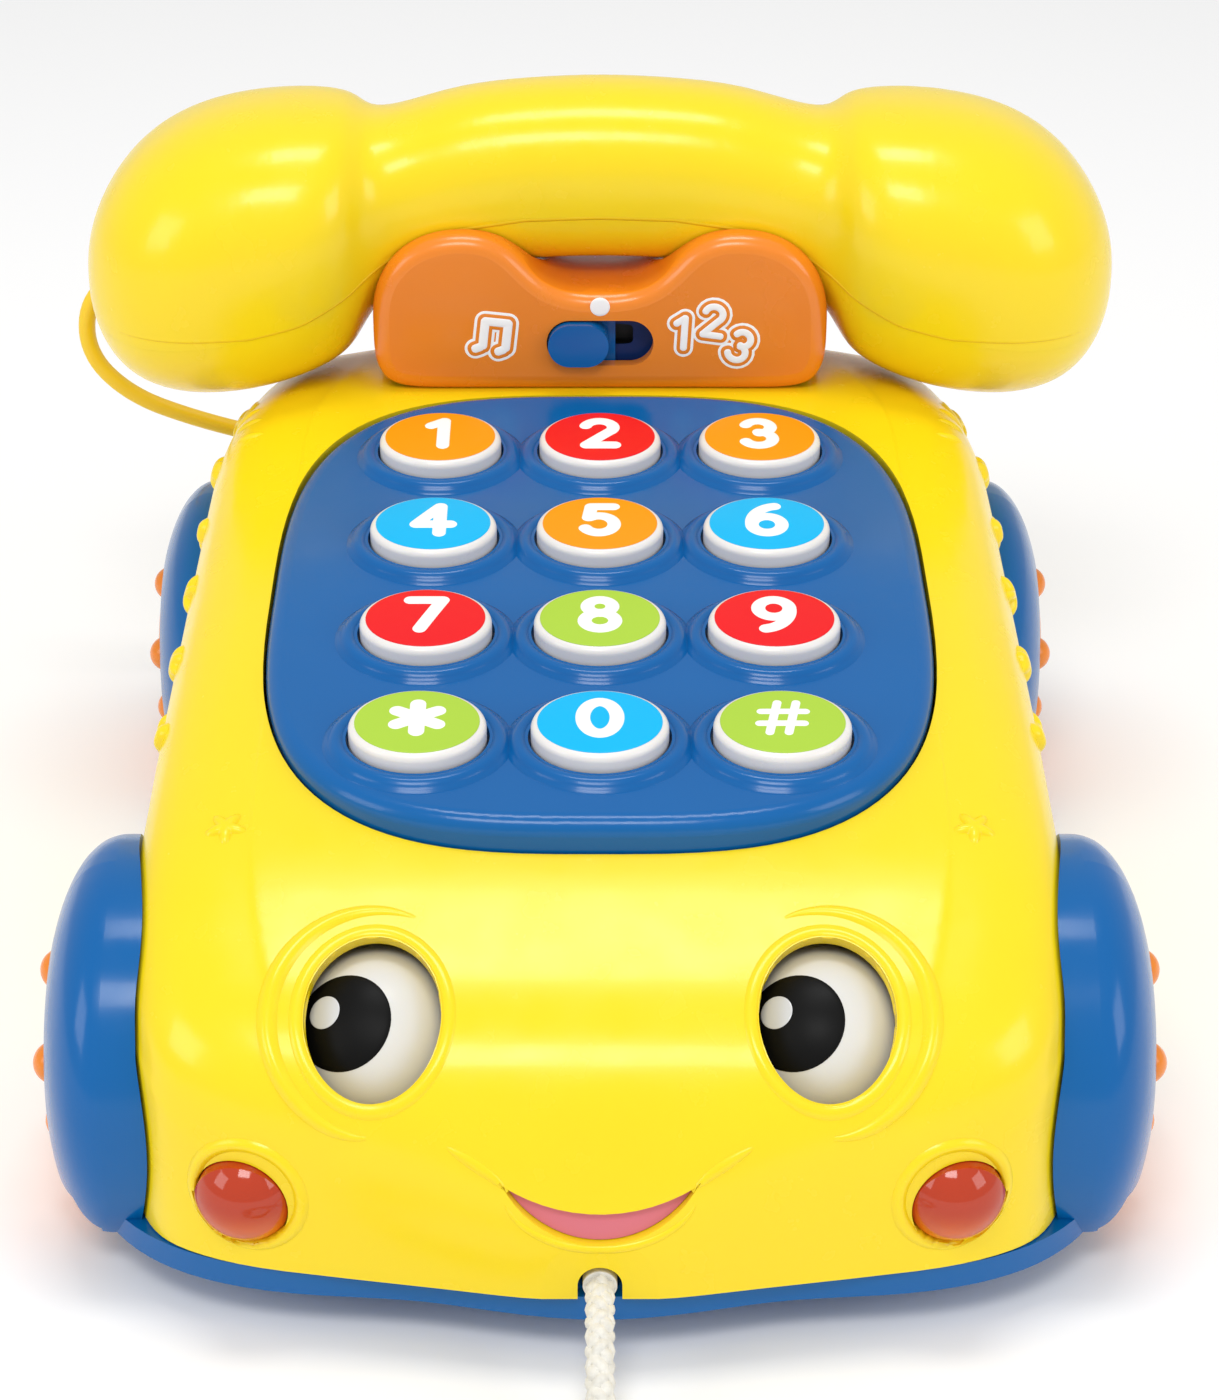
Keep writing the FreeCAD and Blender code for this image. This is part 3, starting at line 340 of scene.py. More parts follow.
def finish_cad_nodes():
    """Every CAD node that stays gets the procedural material of its slot."""
    for row in frame["record"]["subparts"]:
        mesh = frame["nodes"][row["node"]].data
        mesh.materials.clear()
        mesh.materials.append(SLOT_MATERIALS[row["material_slot"]])
        shade(mesh, CAD_CREASE_ANGLE)


# ---- mesh helpers ----

def shade(mesh, angle):
    """Smooth shading, with edges sharper than the angle kept crisp."""
    work = bmesh.new()
    work.from_mesh(mesh)
    limit = math.radians(angle)
    for face in work.faces:
        face.smooth = True
    for edge in work.edges:
        if len(edge.link_faces) == 2:
            edge.smooth = edge.calc_face_angle(0.0) < limit
    work.to_mesh(mesh)
    work.free()


def add_piece(name, verts, faces, mat, body, slot, replaces=(), angle=38):
    """A mesh piece from points in millimetres, riding on a CAD body."""
    mesh = bpy.data.meshes.new(name)
    mesh.from_pydata((np.asarray(verts, float) * MM).tolist(), [], faces)
    mesh.validate()
    work = bmesh.new()
    work.from_mesh(mesh)
    bmesh.ops.remove_doubles(work, verts=work.verts, dist=1e-7)
    bmesh.ops.recalc_face_normals(work, faces=work.faces)
    work.to_mesh(mesh)
    work.free()
    mesh.materials.append(mat)
    shade(mesh, angle)
    obj = bpy.data.objects.new(name, mesh)
    scene.collection.objects.link(obj)
    if body:
        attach(obj, body)
    if replaces:
        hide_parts(*replaces)
    return obj


def rings_mesh(rings, close_ends=True):
    """Faces between rings of points, each ring with the same number of points."""
    rings = [np.asarray(ring, float) for ring in rings]
    count = len(rings[0])
    verts = np.concatenate(rings)
    faces = []
    for row in range(len(rings) - 1):
        low = row * count
        for i in range(count):
            j = (i + 1) % count
            faces.append((low + i, low + j, low + count + j, low + count + i))
    if close_ends:
        faces.append(tuple(range(count - 1, -1, -1)))
        last = (len(rings) - 1) * count
        faces.append(tuple(range(last, last + count)))
    return verts, faces


def join(meshes):
    """Several (points, faces) meshes as one."""
    verts, faces, offset = [], [], 0
    for points, polygons in meshes:
        verts.append(np.asarray(points, float))
        faces.extend(tuple(i + offset for i in polygon) for polygon in polygons)
        offset += len(points)
    return np.concatenate(verts), faces


def smoothstep(low, high, value):
    t = np.clip((value - low) / (high - low), 0, 1)
    return t * t * (3 - 2 * t)


def frames_along(path):
    """Two cross directions at each point of a path, turned as little as possible."""
    path = np.asarray(path, float)
    tangent = np.gradient(path, axis=0)
    tangent /= np.linalg.norm(tangent, axis=1)[:, None]
    side = np.cross(tangent[0], (0.0, 0.3, 1.0))
    side /= np.linalg.norm(side)
    sides, ups = [], []
    for t in tangent:
        side = side - t * np.dot(side, t)
        side /= np.linalg.norm(side)
        sides.append(side)
        ups.append(np.cross(t, side))
    return np.array(sides), np.array(ups)


def even_steps(path, step):
    """The same path with its points evenly spaced."""
    path = np.asarray(path, float)
    reach = np.concatenate([[0], np.cumsum(np.linalg.norm(np.diff(path, axis=0), axis=1))])
    count = max(3, int(round(reach[-1] / step)) + 1)
    places = np.linspace(0, reach[-1], count)
    return np.stack([np.interp(places, reach, path[:, k]) for k in range(3)], axis=1), reach[-1]


# ---- cords ----

HANDSET_CORD_D = 3.0
HANDSET_CORD_STEP = 1.2
HANDSET_CORD_SIDES = 18
HANDSET_CORD_ROUTE = (
    (0.0, 98.6, 36.0), (-1.2, 106.6, 35.6), (-7.5, 113.4, 35.2), (-18.5, 114.6, 35.8),
    (-32.0, 112.0, 37.8), (-46.5, 109.4, 41.4), (-60.5, 107.8, 46.2), (-73.5, 107.2, 50.0),
    (-85.0, 107.6, 54.4), (-92.4, 108.8, 61.8), (-92.2, 110.0, 71.4), (-85.0, 108.2, 77.8),
    (-78.5, 102.4, 81.6), (-74.0, 94.4, 84.6),
)
PULL_CORD_D = 4.2
PULL_CORD_ROUTE = (
    (0.0, -98.2, 12.8), (0.0, -105.8, 12.0), (0.0, -113.4, 7.2), (0.3, -121.2, 2.6),
    (0.8, -129.4, 2.1),
)
PULL_CORD_STEP = 0.42
COIL_START = 8.0
COIL_TURNS = 1.22
COIL_POINTS_PER_TURN = 14
COIL_SPREAD = 0.4
COIL_SPACING = 1.02
# Steps from the knot's middle and front, and heights above the floor.
KNOT_APPROACH = ((1.6, -6.5, 2.3), (0.2, -2.6, 3.1), (0.0, 0.3, 3.9))


def nurbs_points(name, route):
    """Points read from a NURBS line through the route's control points, in millimetres."""
    data = bpy.data.curves.new(name, "CURVE")
    data.dimensions = "3D"
    data.resolution_u = 16
    spline = data.splines.new("NURBS")
    spline.points.add(len(route) - 1)
    for point, place in zip(spline.points, route):
        point.co = (place[0] * MM, place[1] * MM, place[2] * MM, 1)
    spline.order_u = 3
    spline.use_endpoint_u = True
    line = bpy.data.objects.new(name, data)
    scene.collection.objects.link(line)
    bpy.context.view_layer.update()
    mesh = bpy.data.meshes.new_from_object(line)
    points = np.array([v.co for v in mesh.vertices]) / MM
    bpy.data.objects.remove(line)
    bpy.data.meshes.remove(mesh)
    return points


def tube(path, radius, sides):
    across, up = frames_along(path)
    angles = np.linspace(0, 2 * math.pi, sides, endpoint=False)
    rings = []
    for centre, a, b in zip(path, across, up):
        rings.append([centre + radius * (math.cos(t) * a + math.sin(t) * b) for t in angles])
    return rings_mesh(rings)


def handset_cord():
    path, length = even_steps(nurbs_points("handset_cord_line", HANDSET_CORD_ROUTE), HANDSET_CORD_STEP)
    verts, faces = tube(path, HANDSET_CORD_D / 2, HANDSET_CORD_SIDES)
    cord = add_piece("handset_cord_flex", verts, faces, soft_yellow, None, "yellow_cord",
                     replaces=("handset_cord",), angle=60)
    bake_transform(cord)


def coil_points():
    """The turns of the put-away length, wound from the outside in, and the end that meets the knot."""
    low, high = node_box("pull_cord_coil")
    middle = (low + high) / 2
    outer = (high[0] - low[0]) / 2 - PULL_CORD_D / 2
    points = []
    for step in range(int(COIL_TURNS * COIL_POINTS_PER_TURN) + 1):
        turn = step / COIL_POINTS_PER_TURN
        angle = math.radians(COIL_START) - 2 * math.pi * turn
        radius = outer + COIL_SPREAD - PULL_CORD_D * COIL_SPACING * turn
        points.append((middle[0] + radius * math.cos(angle), middle[1] + radius * math.sin(angle),
                       PULL_CORD_D / 2))
    knot_low, knot_high = node_box("pull_cord_knot")
    knot = (knot_low + knot_high) / 2
    for sideways, onward, height in KNOT_APPROACH:
        points.append((knot[0] + sideways, knot_low[1] + onward, height))
    return points


BRAID_PITCH = 8.4
BRAID_INSET = 0.78
BRAID_WAVE = 0.17
STRAND_R = 0.68
STRAND_THICK = 0.72
STRAND_WIDE = 1.18
STRAND_SIDES = 8


def braid(path, core):
    """Eight strands, four each way round, that pass over and under each other."""
    across, up = frames_along(path)
    reach = np.concatenate([[0], np.cumsum(np.linalg.norm(np.diff(path, axis=0), axis=1))])
    strands = []
    for way in (1, -1):
        for index in range(4):
            angle = way * 2 * math.pi * reach / BRAID_PITCH + index * math.pi / 2
            wave = way * np.cos(8 * math.pi * reach / BRAID_PITCH + index * math.pi)
            offset = core + BRAID_WAVE * wave
            outwards = np.cos(angle)[:, None] * across + np.sin(angle)[:, None] * up
            line = path + offset[:, None] * outwards
            radial = (line - path) / offset[:, None]
            tangent = np.gradient(line, axis=0)
            tangent /= np.linalg.norm(tangent, axis=1)[:, None]
            flat = np.cross(tangent, radial)
            turns = np.linspace(0, 2 * math.pi, STRAND_SIDES, endpoint=False)
            rings = []
            for centre, out, wide in zip(line, radial, flat):
                rings.append([centre + STRAND_R * (STRAND_THICK * math.cos(t) * out
                                                   + STRAND_WIDE * math.sin(t) * wide) for t in turns])
            strands.append(rings_mesh(rings))
    return join(strands)


def pull_cord():
    route = list(PULL_CORD_ROUTE) + coil_points()
    path, length = even_steps(nurbs_points("pull_cord_line", route), PULL_CORD_STEP)
    verts, faces = braid(path, PULL_CORD_D / 2 - BRAID_INSET)
    rope = add_piece("pull_cord_rope", verts, faces, rope_white, "base", "white_rope",
                     replaces=("pull_cord", "pull_cord_coil"), angle=80)


# ---- raised relief that follows a CAD surface ----

def surface_of(*nodes):
    """A search tree of the CAD nodes' meshes, in millimetres."""
    points, faces = [], []
    for node in nodes:
        mesh = frame["nodes"][node].data
        start = len(points)
        points += [v.co / MM for v in mesh.vertices]
        faces += [tuple(start + index for index in p.vertices) for p in mesh.polygons]
    return BVHTree.FromPolygons(points, faces)


def land(tree, place, down, reach=14.0):
    """Where a line through the place, along down, first meets the surface; and how it faces there."""
    down = Vector(down).normalized()
    start = Vector(place) - down * reach
    hit, normal, _, _ = tree.ray_cast(start, down, 3 * reach)
    if hit is None:
        hit, normal, _, _ = tree.find_nearest(Vector(place))
    if normal.dot(down) > 0:
        normal = -normal
    return np.array(hit), np.array(normal)


RIDGE_PROFILE = (-1.0, -0.8, -0.55, -0.28, 0.0, 0.28, 0.55, 0.8, 1.0)
RIDGE_END_WIDTH = 0.25
RIDGE_SINK = 0.01
BOSS_ROOT = 0.10
BOSS_REACH = 6.0


def ridge(tree, path, down, half_width, height, closed=False, sunk=0.12):
    """A soft rounded ridge laid along a path on a surface; open ends taper away."""
    path = np.asarray(path, float)
    count = len(path)
    rows = []
    for i in range(count):
        before = path[(i - 1) % count if closed else max(i - 1, 0)]
        after = path[(i + 1) % count if closed else min(i + 1, count - 1)]
        along = (after - before) / np.linalg.norm(after - before)
        across = np.cross(along, down)
        across /= np.linalg.norm(across)
        fade = 1.0 if closed else math.sin(math.pi * i / (count - 1)) ** 0.5
        row = []
        for t in RIDGE_PROFILE:
            spot, normal = land(tree, path[i] + across * t * half_width * max(fade, RIDGE_END_WIDTH), down)
            rise = height * fade * (1 - t * t) ** 1.3 - sunk * abs(t) ** 6 - RIDGE_SINK
            row.append(spot + normal * rise)
        rows.append(row)
    width = len(RIDGE_PROFILE)
    verts = np.array([v for row in rows for v in row])
    faces = []
    for r in range(count if closed else count - 1):
        nxt = (r + 1) % count
        for i in range(width - 1):
            faces.append((r * width + i, r * width + i + 1, nxt * width + i + 1, nxt * width + i))
    return verts, faces


def boss(tree, centre, down, outline, height, turns=40, rings=7):
    """A soft raised shape with the outline given by radius at each angle."""
    centre, normal = land(tree, centre, down)
    side = np.cross(normal, (0.0, 1.0, 0.0) if abs(normal[1]) < 0.9 else (1.0, 0.0, 0.0))
    side /= np.linalg.norm(side)
    up = np.cross(side, normal)
    spot, own = land(tree, centre, -normal)
    verts, faces = [spot + own * height], []
    for ring in range(1, rings + 1):
        share = ring / rings
        rise = height * (1 - share ** 3.2) - BOSS_ROOT * share ** 8
        for step in range(turns):
            angle = 2 * math.pi * step / turns
            reach = outline(angle) * share
            place = centre + reach * (math.cos(angle) * side + math.sin(angle) * up)
            spot, own = land(tree, place, -normal, BOSS_REACH)
            verts.append(spot + own * rise)
    for step in range(turns):
        after = (step + 1) % turns
        faces.append((0, 1 + step, 1 + after))
        for ring in range(rings - 1):
            low, high = 1 + ring * turns, 1 + (ring + 1) * turns
            faces.append((low + step, high + step, high + after, low + after))
    return np.array(verts), faces


def star_outline(size, turn, points=5, depth=0.24):
    """A soft star's radius at each angle."""
    return lambda angle: size * (1 - depth + depth * math.cos(points * (angle + turn)))


def oval_path(centre, a, b, half_a, half_b, start=0.0, end=2 * math.pi, steps=64, closed=True):
    angles = np.linspace(start, end, steps, endpoint=not closed)
    centre, a, b = (np.asarray(v, float) for v in (centre, a, b))
    return [centre + half_a * math.cos(t) * a + half_b * math.sin(t) * b for t in angles]


# Half sizes run along X and up the face. A ridge is its half width and its height.
EYE_RELIEF_REACH = 13.0
BROW_HALF = (13.6, 15.4)
BROW_ARC = (math.radians(-88), math.radians(112))
BROW_STEPS = 54
BROW_RIDGE = (1.5, 0.75)
EYE_RIM_HALF = (9.9, 12.4)
EYE_RIM_RIDGE = (1.05, 0.30)
LENS_FACING = (0.17, -0.97, 0.14)
LENS_RING_REACH = 5
LENS_RING_R = 7.5
LENS_RING_RIDGE = (1.1, 0.55)


def eye_ridges(tree, side):
    """The brow line over an eye and the low rim round its opening."""
    axis = Vector(joints["eye_right_turn"]["axis"])
    outward = np.array((0.0, -axis.z, axis.y))
    up = np.array(axis)
    eye = joint_place("eye_right_turn" if side > 0 else "eye_left_turn") + outward * EYE_RELIEF_REACH
    right = np.array((float(side), 0.0, 0.0))
    brow = oval_path(eye, right, up, *BROW_HALF, *BROW_ARC, BROW_STEPS, False)
    rim = oval_path(eye, right, up, *EYE_RIM_HALF)
    return [ridge(tree, brow, -outward, *BROW_RIDGE),
            ridge(tree, rim, -outward, *EYE_RIM_RIDGE, closed=True)]


def lens_ring(tree, side):
    """The raised ring round a headlight."""
    low, high = node_box("headlight_lens_" + ("right" if side > 0 else "left"))
    lens = (low + high) / 2
    facing = np.array((LENS_FACING[0] * side, LENS_FACING[1], LENS_FACING[2]))
    facing /= np.linalg.norm(facing)
    flat = np.cross((0.0, 0.0, 1.0), facing)
    flat /= np.linalg.norm(flat)
    ring = oval_path(lens + facing * LENS_RING_REACH, flat, np.cross(facing, flat),
                     LENS_RING_R, LENS_RING_R)
    return ridge(tree, ring, -facing, *LENS_RING_RIDGE, closed=True)


BONNET_STAR = (50.4, -56.0, 57.0)
BONNET_STAR_SHAPE = (3.1, 0.3)
BONNET_STAR_HEIGHT = 0.7
BUD_COUNT = 11
BUD_X = 61.5
BUD_FIRST_Y = -27.0
BUD_STEP = 9.6
BUD_Z = 62.0
BUD_CLIMB = 0.11
BUD_DROP = 1.5
BUD_ZIGZAG = 2.2
BUD_HEIGHT = 1.15
# Size, turn for each bud along the row, number of points and their depth.
BUD_SHAPES = ((2.4, 0.0, 2, 0.18), (3.5, 0.6, 5, 0.24), (3.0, 0.2, 6, 0.12))


def shoulder_buds(tree, side):
    """A star on the bonnet's corner and the row of stars and buds along a shoulder."""
    star = (side * BONNET_STAR[0], BONNET_STAR[1], BONNET_STAR[2])
    parts = [boss(tree, star, (0.0, 0.3, -1.0), star_outline(*BONNET_STAR_SHAPE), BONNET_STAR_HEIGHT)]
    for index in range(BUD_COUNT):
        y = BUD_FIRST_Y + BUD_STEP * index
        drop = BUD_DROP + BUD_ZIGZAG * (index % 2)
        place = (side * BUD_X, y, BUD_Z + BUD_CLIMB * y - 3 * drop)
        down = (-0.78 * side, 0.0, -0.62)
        size, turn, points, depth = BUD_SHAPES[index % 3]
        parts.append(boss(tree, place, down, star_outline(size, turn * index, points, depth), BUD_HEIGHT))
    return parts


RIB_COUNT = 5
RIB_START = (54.0, 44.0, 84.0)
RIB_STEP_X = 0.8
RIB_STEP_Y = 6.0
RIB_RUN_X = 4.6
RIB_RUN_Y = 2.2
RIB_RIDGE = (0.9, 0.45)


def rear_ribs(tree, side):
    """The short raised lines on top of a rear shoulder."""
    parts = []
    for index in range(RIB_COUNT):
        y = RIB_START[1] + RIB_STEP_Y * index
        start = np.array((side * (RIB_START[0] + RIB_STEP_X * index), y, RIB_START[2]))
        line = [start + np.array((side * RIB_RUN_X * t, RIB_RUN_Y * t, 0.0)) for t in np.linspace(0, 1, 10)]
        parts.append(ridge(tree, line, (0.0, 0.0, -1.0), *RIB_RIDGE))
    return parts


def shell_relief():
    """All that is raised on the top shell but the smile creases."""
    tree = surface_of("top_shell")
    parts = []
    for side in (1, -1):
        parts += eye_ridges(tree, side)
        parts.append(lens_ring(tree, side))
        parts += shoulder_buds(tree, side)
        parts += rear_ribs(tree, side)
    add_piece("top_shell_relief", *join(parts), yellow, "base", "yellow_plastic", angle=70)


CHEEK_START = (12.0, -98.0, 26.6)
CHEEK_RUN_X = 7.6
CHEEK_RUN_Z = 5.6
CHEEK_RIDGE = (0.9, 0.32)
LIP_HALF_WIDTH = 12.6
LIP_Y = -98.5
LIP_TOP = 26.2
LIP_DROP = 7.4
LIP_TURN = 1.35
LIP_RIDGE = (0.7, 0.30)


def smile_creases():
    """The creases that run up from the mouth's corners and the low line under the lip."""
    tree = surface_of("top_shell")
    parts = []
    for side in (1, -1):
        line = []
        for t in np.linspace(0, 1, 18):
            line.append((side * (CHEEK_START[0] + CHEEK_RUN_X * t), CHEEK_START[1],
                         CHEEK_START[2] + CHEEK_RUN_Z * t ** 0.8))
        parts.append(ridge(tree, line, (0.0, 1.0, -0.15), *CHEEK_RIDGE))
    lower = [(LIP_HALF_WIDTH * math.sin(t), LIP_Y, LIP_TOP - LIP_DROP * math.cos(t) ** 1.1)
             for t in np.linspace(-LIP_TURN, LIP_TURN, 40)]
    parts.append(ridge(tree, lower, (0.0, 1.0, -0.1), *LIP_RIDGE))
    add_piece("smile_crease", *join(parts), yellow, "base", "yellow_plastic", angle=70)


SEAM_ROUTE = ((0.0, 104.0), (12.0, 103.6), (24.0, 101.8), (32.0, 98.4), (40.0, 93.2), (48.0, 89.2),
              (56.0, 87.2), (66.0, 86.6), (76.0, 86.4), (80.5, 86.6))
SEAM_STEP = 1.6
SEAM_REACH = 30.0
SEAM_RIDGE = (0.32, 0.14)
SEAM_SUNK = 0.04


def handset_seam():
    """The fine raised line where the two halves of the handset meet."""
    tree = surface_of("handset_upper_shell", "handset_lower_shell")
    low, high = node_box("handset_upper_shell")
    middle = (low[1] + high[1]) / 2
    route = [(-x, z) for x, z in reversed(SEAM_ROUTE[1:])] + list(SEAM_ROUTE)
    line, _ = even_steps([(x, 0.0, z) for x, z in route], SEAM_STEP)
    parts = []
    for way in (-1.0, 1.0):
        path = [(x, middle + way * SEAM_REACH, z) for x, _, z in line]
        parts.append(ridge(tree, path, (0.0, -way, 0.0), *SEAM_RIDGE, sunk=SEAM_SUNK))
    add_piece("handset_seam", *join(parts), seam_yellow, "handset", "yellow_plastic", angle=80)


# ---- strokes for printed marks ----

def arc(centre_x, centre_y, radius_x, radius_y, start, end, steps=22):
    angles = np.radians(np.linspace(start, end, steps))
    return [(centre_x + radius_x * math.cos(t), centre_y + radius_y * math.sin(t)) for t in angles]


GLYPHS = {
    "1": [[(-1.5, 2.3), (0.5, 3.75)], [(0.5, 3.75), (0.5, -3.75)]],
    "2": [arc(-0.1, 1.75, 2.2, 2.0, 165, -38), [(1.6, 0.55), (-2.1, -3.6)],
          [(-2.1, -3.65), (2.3, -3.65)]],
    "3": [arc(-0.2, 1.85, 2.0, 1.9, 158, -85), arc(-0.2, -1.75, 2.2, 2.0, 88, -155)],
    "4": [[(0.9, 3.7), (-2.5, -1.3)], [(-2.5, -1.35), (2.6, -1.35)], [(1.0, 3.7), (1.0, -3.75)]],
    "5": [[(2.0, 3.7), (-1.3, 3.7)], [(-1.3, 3.7), (-1.7, 0.5)],
          arc(-0.15, -1.35, 2.3, 2.35, 128, -152)],
    "6": [arc(0.0, -1.45, 2.25, 2.25, 0, 360, 34), arc(1.9, -1.0, 4.15, 4.8, 183, 98)],
    "7": [[(-2.3, 3.65), (2.3, 3.65)], [(2.3, 3.65), (-0.7, -3.75)]],
    "8": [arc(0.0, 1.95, 1.8, 1.75, 0, 360, 30), arc(0.0, -1.75, 2.2, 2.0, 0, 360, 34)],
    "9": [arc(0.0, 1.45, 2.25, 2.25, 0, 360, 34), arc(-1.9, 1.0, 4.15, 4.8, 3, -82)],
    "0": [arc(0.0, 0.0, 2.35, 3.7, 0, 360, 44)],
    "star": [[(0.0, 3.2), (0.0, -3.2)], [(-2.8, 1.6), (2.8, -1.6)], [(-2.8, -1.6), (2.8, 1.6)]],
    "hash": [[(-0.6, 3.5), (-1.9, -3.5)], [(2.0, 3.5), (0.7, -3.5)],
             [(-2.9, 1.4), (3.2, 1.4)], [(-3.2, -1.4), (2.9, -1.4)]],
}
SECTION_STEPS = 9
STROKE_CAP_STEPS = 6
STROKE_STEP_SHARE = 0.3
STROKE_THINNEST = 0.03
STROKE_ROOT = 0.12
STROKE_OVERLAP_LIFT = 0.003


def stroke(points, half_width, height, floor):
    """A flat stroke with round ends, in its own plane: x, y and height above it."""
    points = np.asarray([(x, y, 0.0) for x, y in points])
    line, _ = even_steps(points, half_width * STROKE_STEP_SHARE)
    first = (line[0] - line[1]) / np.linalg.norm(line[0] - line[1])
    last = (line[-1] - line[-2]) / np.linalg.norm(line[-1] - line[-2])
    caps = [math.sin(0.5 * math.pi * i / STROKE_CAP_STEPS) for i in range(STROKE_CAP_STEPS, 0, -1)]
    widths = [math.sqrt(max(0.0, 1 - c * c)) for c in caps] + [1.0] * len(line)
    spine = [line[0] + first * half_width * c for c in caps] + list(line)
    spine += [line[-1] + last * half_width * c for c in reversed(caps)]
    widths += [math.sqrt(max(0.0, 1 - c * c)) for c in reversed(caps)]
    widths = np.maximum(widths, STROKE_THINNEST)
    along = np.gradient(np.array(spine), axis=0)
    along /= np.linalg.norm(along, axis=1)[:, None]
    rings = []
    for spot, way, share in zip(spine, along, widths):
        across = np.array((-way[1], way[0], 0.0))
        ring = []
        for step in range(SECTION_STEPS):
            t = math.pi * step / (SECTION_STEPS - 1)
            rise = height * share * math.sin(t) ** 0.6
            lifted = np.array((0, 0, floor + rise))
            ring.append(spot + across * half_width * share * math.cos(t) + lifted)
        ring.append(spot - across * half_width * share + np.array((0, 0, floor - STROKE_ROOT)))
        ring.append(spot + across * half_width * share + np.array((0, 0, floor - STROKE_ROOT)))
        rings.append(ring)
    return rings_mesh(rings)


def mark(strokes, half_width, height, floor=0.0, size=1.0, turn=0.0, shift=(0.0, 0.0)):
    """A printed mark as overlapping strokes, scaled, turned and moved in its plane."""
    c, s = math.cos(turn), math.sin(turn)
    made = []
    for index, points in enumerate(strokes):
        moved = [(size * (x * c - y * s) + shift[0], size * (x * s + y * c) + shift[1])
                 for x, y in points]
        made.append(stroke(moved, half_width, height + STROKE_OVERLAP_LIFT * index, floor))
    return join(made)


def on_plane(mesh, origin, right, up):
    """A mesh from its own plane put at origin, with its x along right and its y along up."""
    points, faces = mesh
    right, up = (np.asarray(v, float) for v in (right, up))
    out = np.cross(right, up)
    points = np.asarray(points)
    placed = np.asarray(origin) + points[:, :1] * right + points[:, 1:2] * up + points[:, 2:] * out
    return placed, faces


# ---- keys ----

KEY_FACES = {
    "key_1": ("orange", "1"), "key_2": ("red", "2"), "key_3": ("orange", "3"),
    "key_4": ("cyan", "4"), "key_5": ("orange", "5"), "key_6": ("cyan", "6"),
    "key_7": ("red", "7"), "key_8": ("green", "8"), "key_9": ("red", "9"),
    "key_star": ("green", "star"), "key_0": ("cyan", "0"), "key_hash": ("green", "hash"),
}
KEY_EDGE = 1.1
KEY_STANDS = 3.5
FLAT_TOLERANCE = 0.02
INLAY_ROOT = 0.10
INLAY_RISE = 0.10
INLAY_CROWN = 0.16
INLAY_TURNS = 72
KEY_PRINT_SHIFT = 0.7
KEY_PRINT_HEIGHT = 0.12
DIGIT_HALF_WIDTH = 1.02
SIGN_HALF_WIDTHS = {"hash": 0.62, "star": 1.12}


def key_top(node, up):
    """Middle and half sizes of the flat top of a key cap."""
    verts = np.array([v.co for v in frame["nodes"][node].data.vertices]) / MM
    height = verts @ up
    flat = verts[height > height.max() - FLAT_TOLERANCE]
    right = np.array((1.0, 0.0, 0.0))
    back = np.cross(up, right)
    across, along = flat @ right, flat @ back
    middle = right * (across.max() + across.min()) / 2 + back * (along.max() + along.min()) / 2
    return middle + up * height.max(), (np.ptp(across) / 2, np.ptp(along) / 2), right, back


def crown(x, y, half):
    """How far the crowned disc rises above its edge."""
    return INLAY_CROWN * (1 - (x / half[0]) ** 2 - (y / half[1]) ** 2)


def key_inlay(half):
    """A thin coloured disc with a softened edge and a slight crown."""
    rings = [(1.0, -INLAY_ROOT), (1.0, 0.6 * INLAY_RISE), (0.992, INLAY_RISE)]
    rings += [(share, INLAY_RISE) for share in (0.96, 0.85, 0.7, 0.5, 0.3, 0.12)]
    loops = []
    for share, rise in rings:
        loop = []
        for step in range(INLAY_TURNS):
            angle = 2 * math.pi * step / INLAY_TURNS
            x, y = half[0] * share * math.cos(angle), half[1] * share * math.sin(angle)
            loop.append((x, y, rise + (crown(x, y, half) if rise > 0 else 0.0)))
        loops.append(loop)
    return rings_mesh(loops)


COLLAR_PROFILE = (
    (0.42, -0.6), (0.46, 0.70), (0.66, 1.06), (1.10, 1.28), (1.65, 1.30), (2.15, 1.12), (2.60, 0.66),
    (2.95, 0.24), (3.45, 0.02), (3.6, -0.3),
)
COLLAR_TURNS = 80


def keys():
    """The coloured disc and the print on each key, and the soft collars round them."""
    turns = np.linspace(0, 2 * math.pi, COLLAR_TURNS, endpoint=False)
    collars = []
    for node, (colour, glyph) in KEY_FACES.items():
        up = -np.array(joints[node + "_press"]["axis"])
        middle, half, right, back = key_top(node, up)
        inlay = on_plane(key_inlay(half), middle, right, back)
        add_piece(node + "_colour", *inlay, KEY_COLOURS[colour], node, "key_white", angle=50)
        points, faces = mark(GLYPHS[glyph], SIGN_HALF_WIDTHS.get(glyph, DIGIT_HALF_WIDTH),
                             KEY_PRINT_HEIGHT, INLAY_RISE, shift=(0.0, KEY_PRINT_SHIFT))
        points[:, 2] += crown(points[:, 0], points[:, 1], half)
        add_piece(node + "_print", *on_plane((points, faces), middle, right, back),
                  print_white, node, "key_white", angle=60)
        wide, deep = half[0] + KEY_EDGE, half[1] + KEY_EDGE
        loops = []
        for out, rise in COLLAR_PROFILE:
            loops.append([((wide + out) * math.cos(t), (deep + out) * math.sin(t), rise - KEY_STANDS)
                          for t in turns])
        collars.append(on_plane(rings_mesh(loops, close_ends=False), middle, right, back))
    add_piece("keypad_collars", *join(collars), blue, "base", "blue_plastic", angle=60)


# ---- eyes ----

EYE_BALL_R = 14.0
PUPIL_GAZE = math.radians(-18)
PUPIL_R = 6.5
PUPIL_THICK = 0.07
GLINT_R = 2.25
GLINT_THICK = 0.06
GLINT_AWAY = math.radians(12.0)
GLINT_SIDE = -0.88
GLINT_UP = 0.48
# The caps' section: share of the full reach, and share of the thickness.
CAP_PROFILE = ((1.0, -0.05), (1.0, 0.6), (0.985, 1.0), (0.9, 1.0), (0.75, 1.0), (0.55, 1.0),
               (0.3, 1.0), (0.1, 1.0))
CAP_TURNS = 56


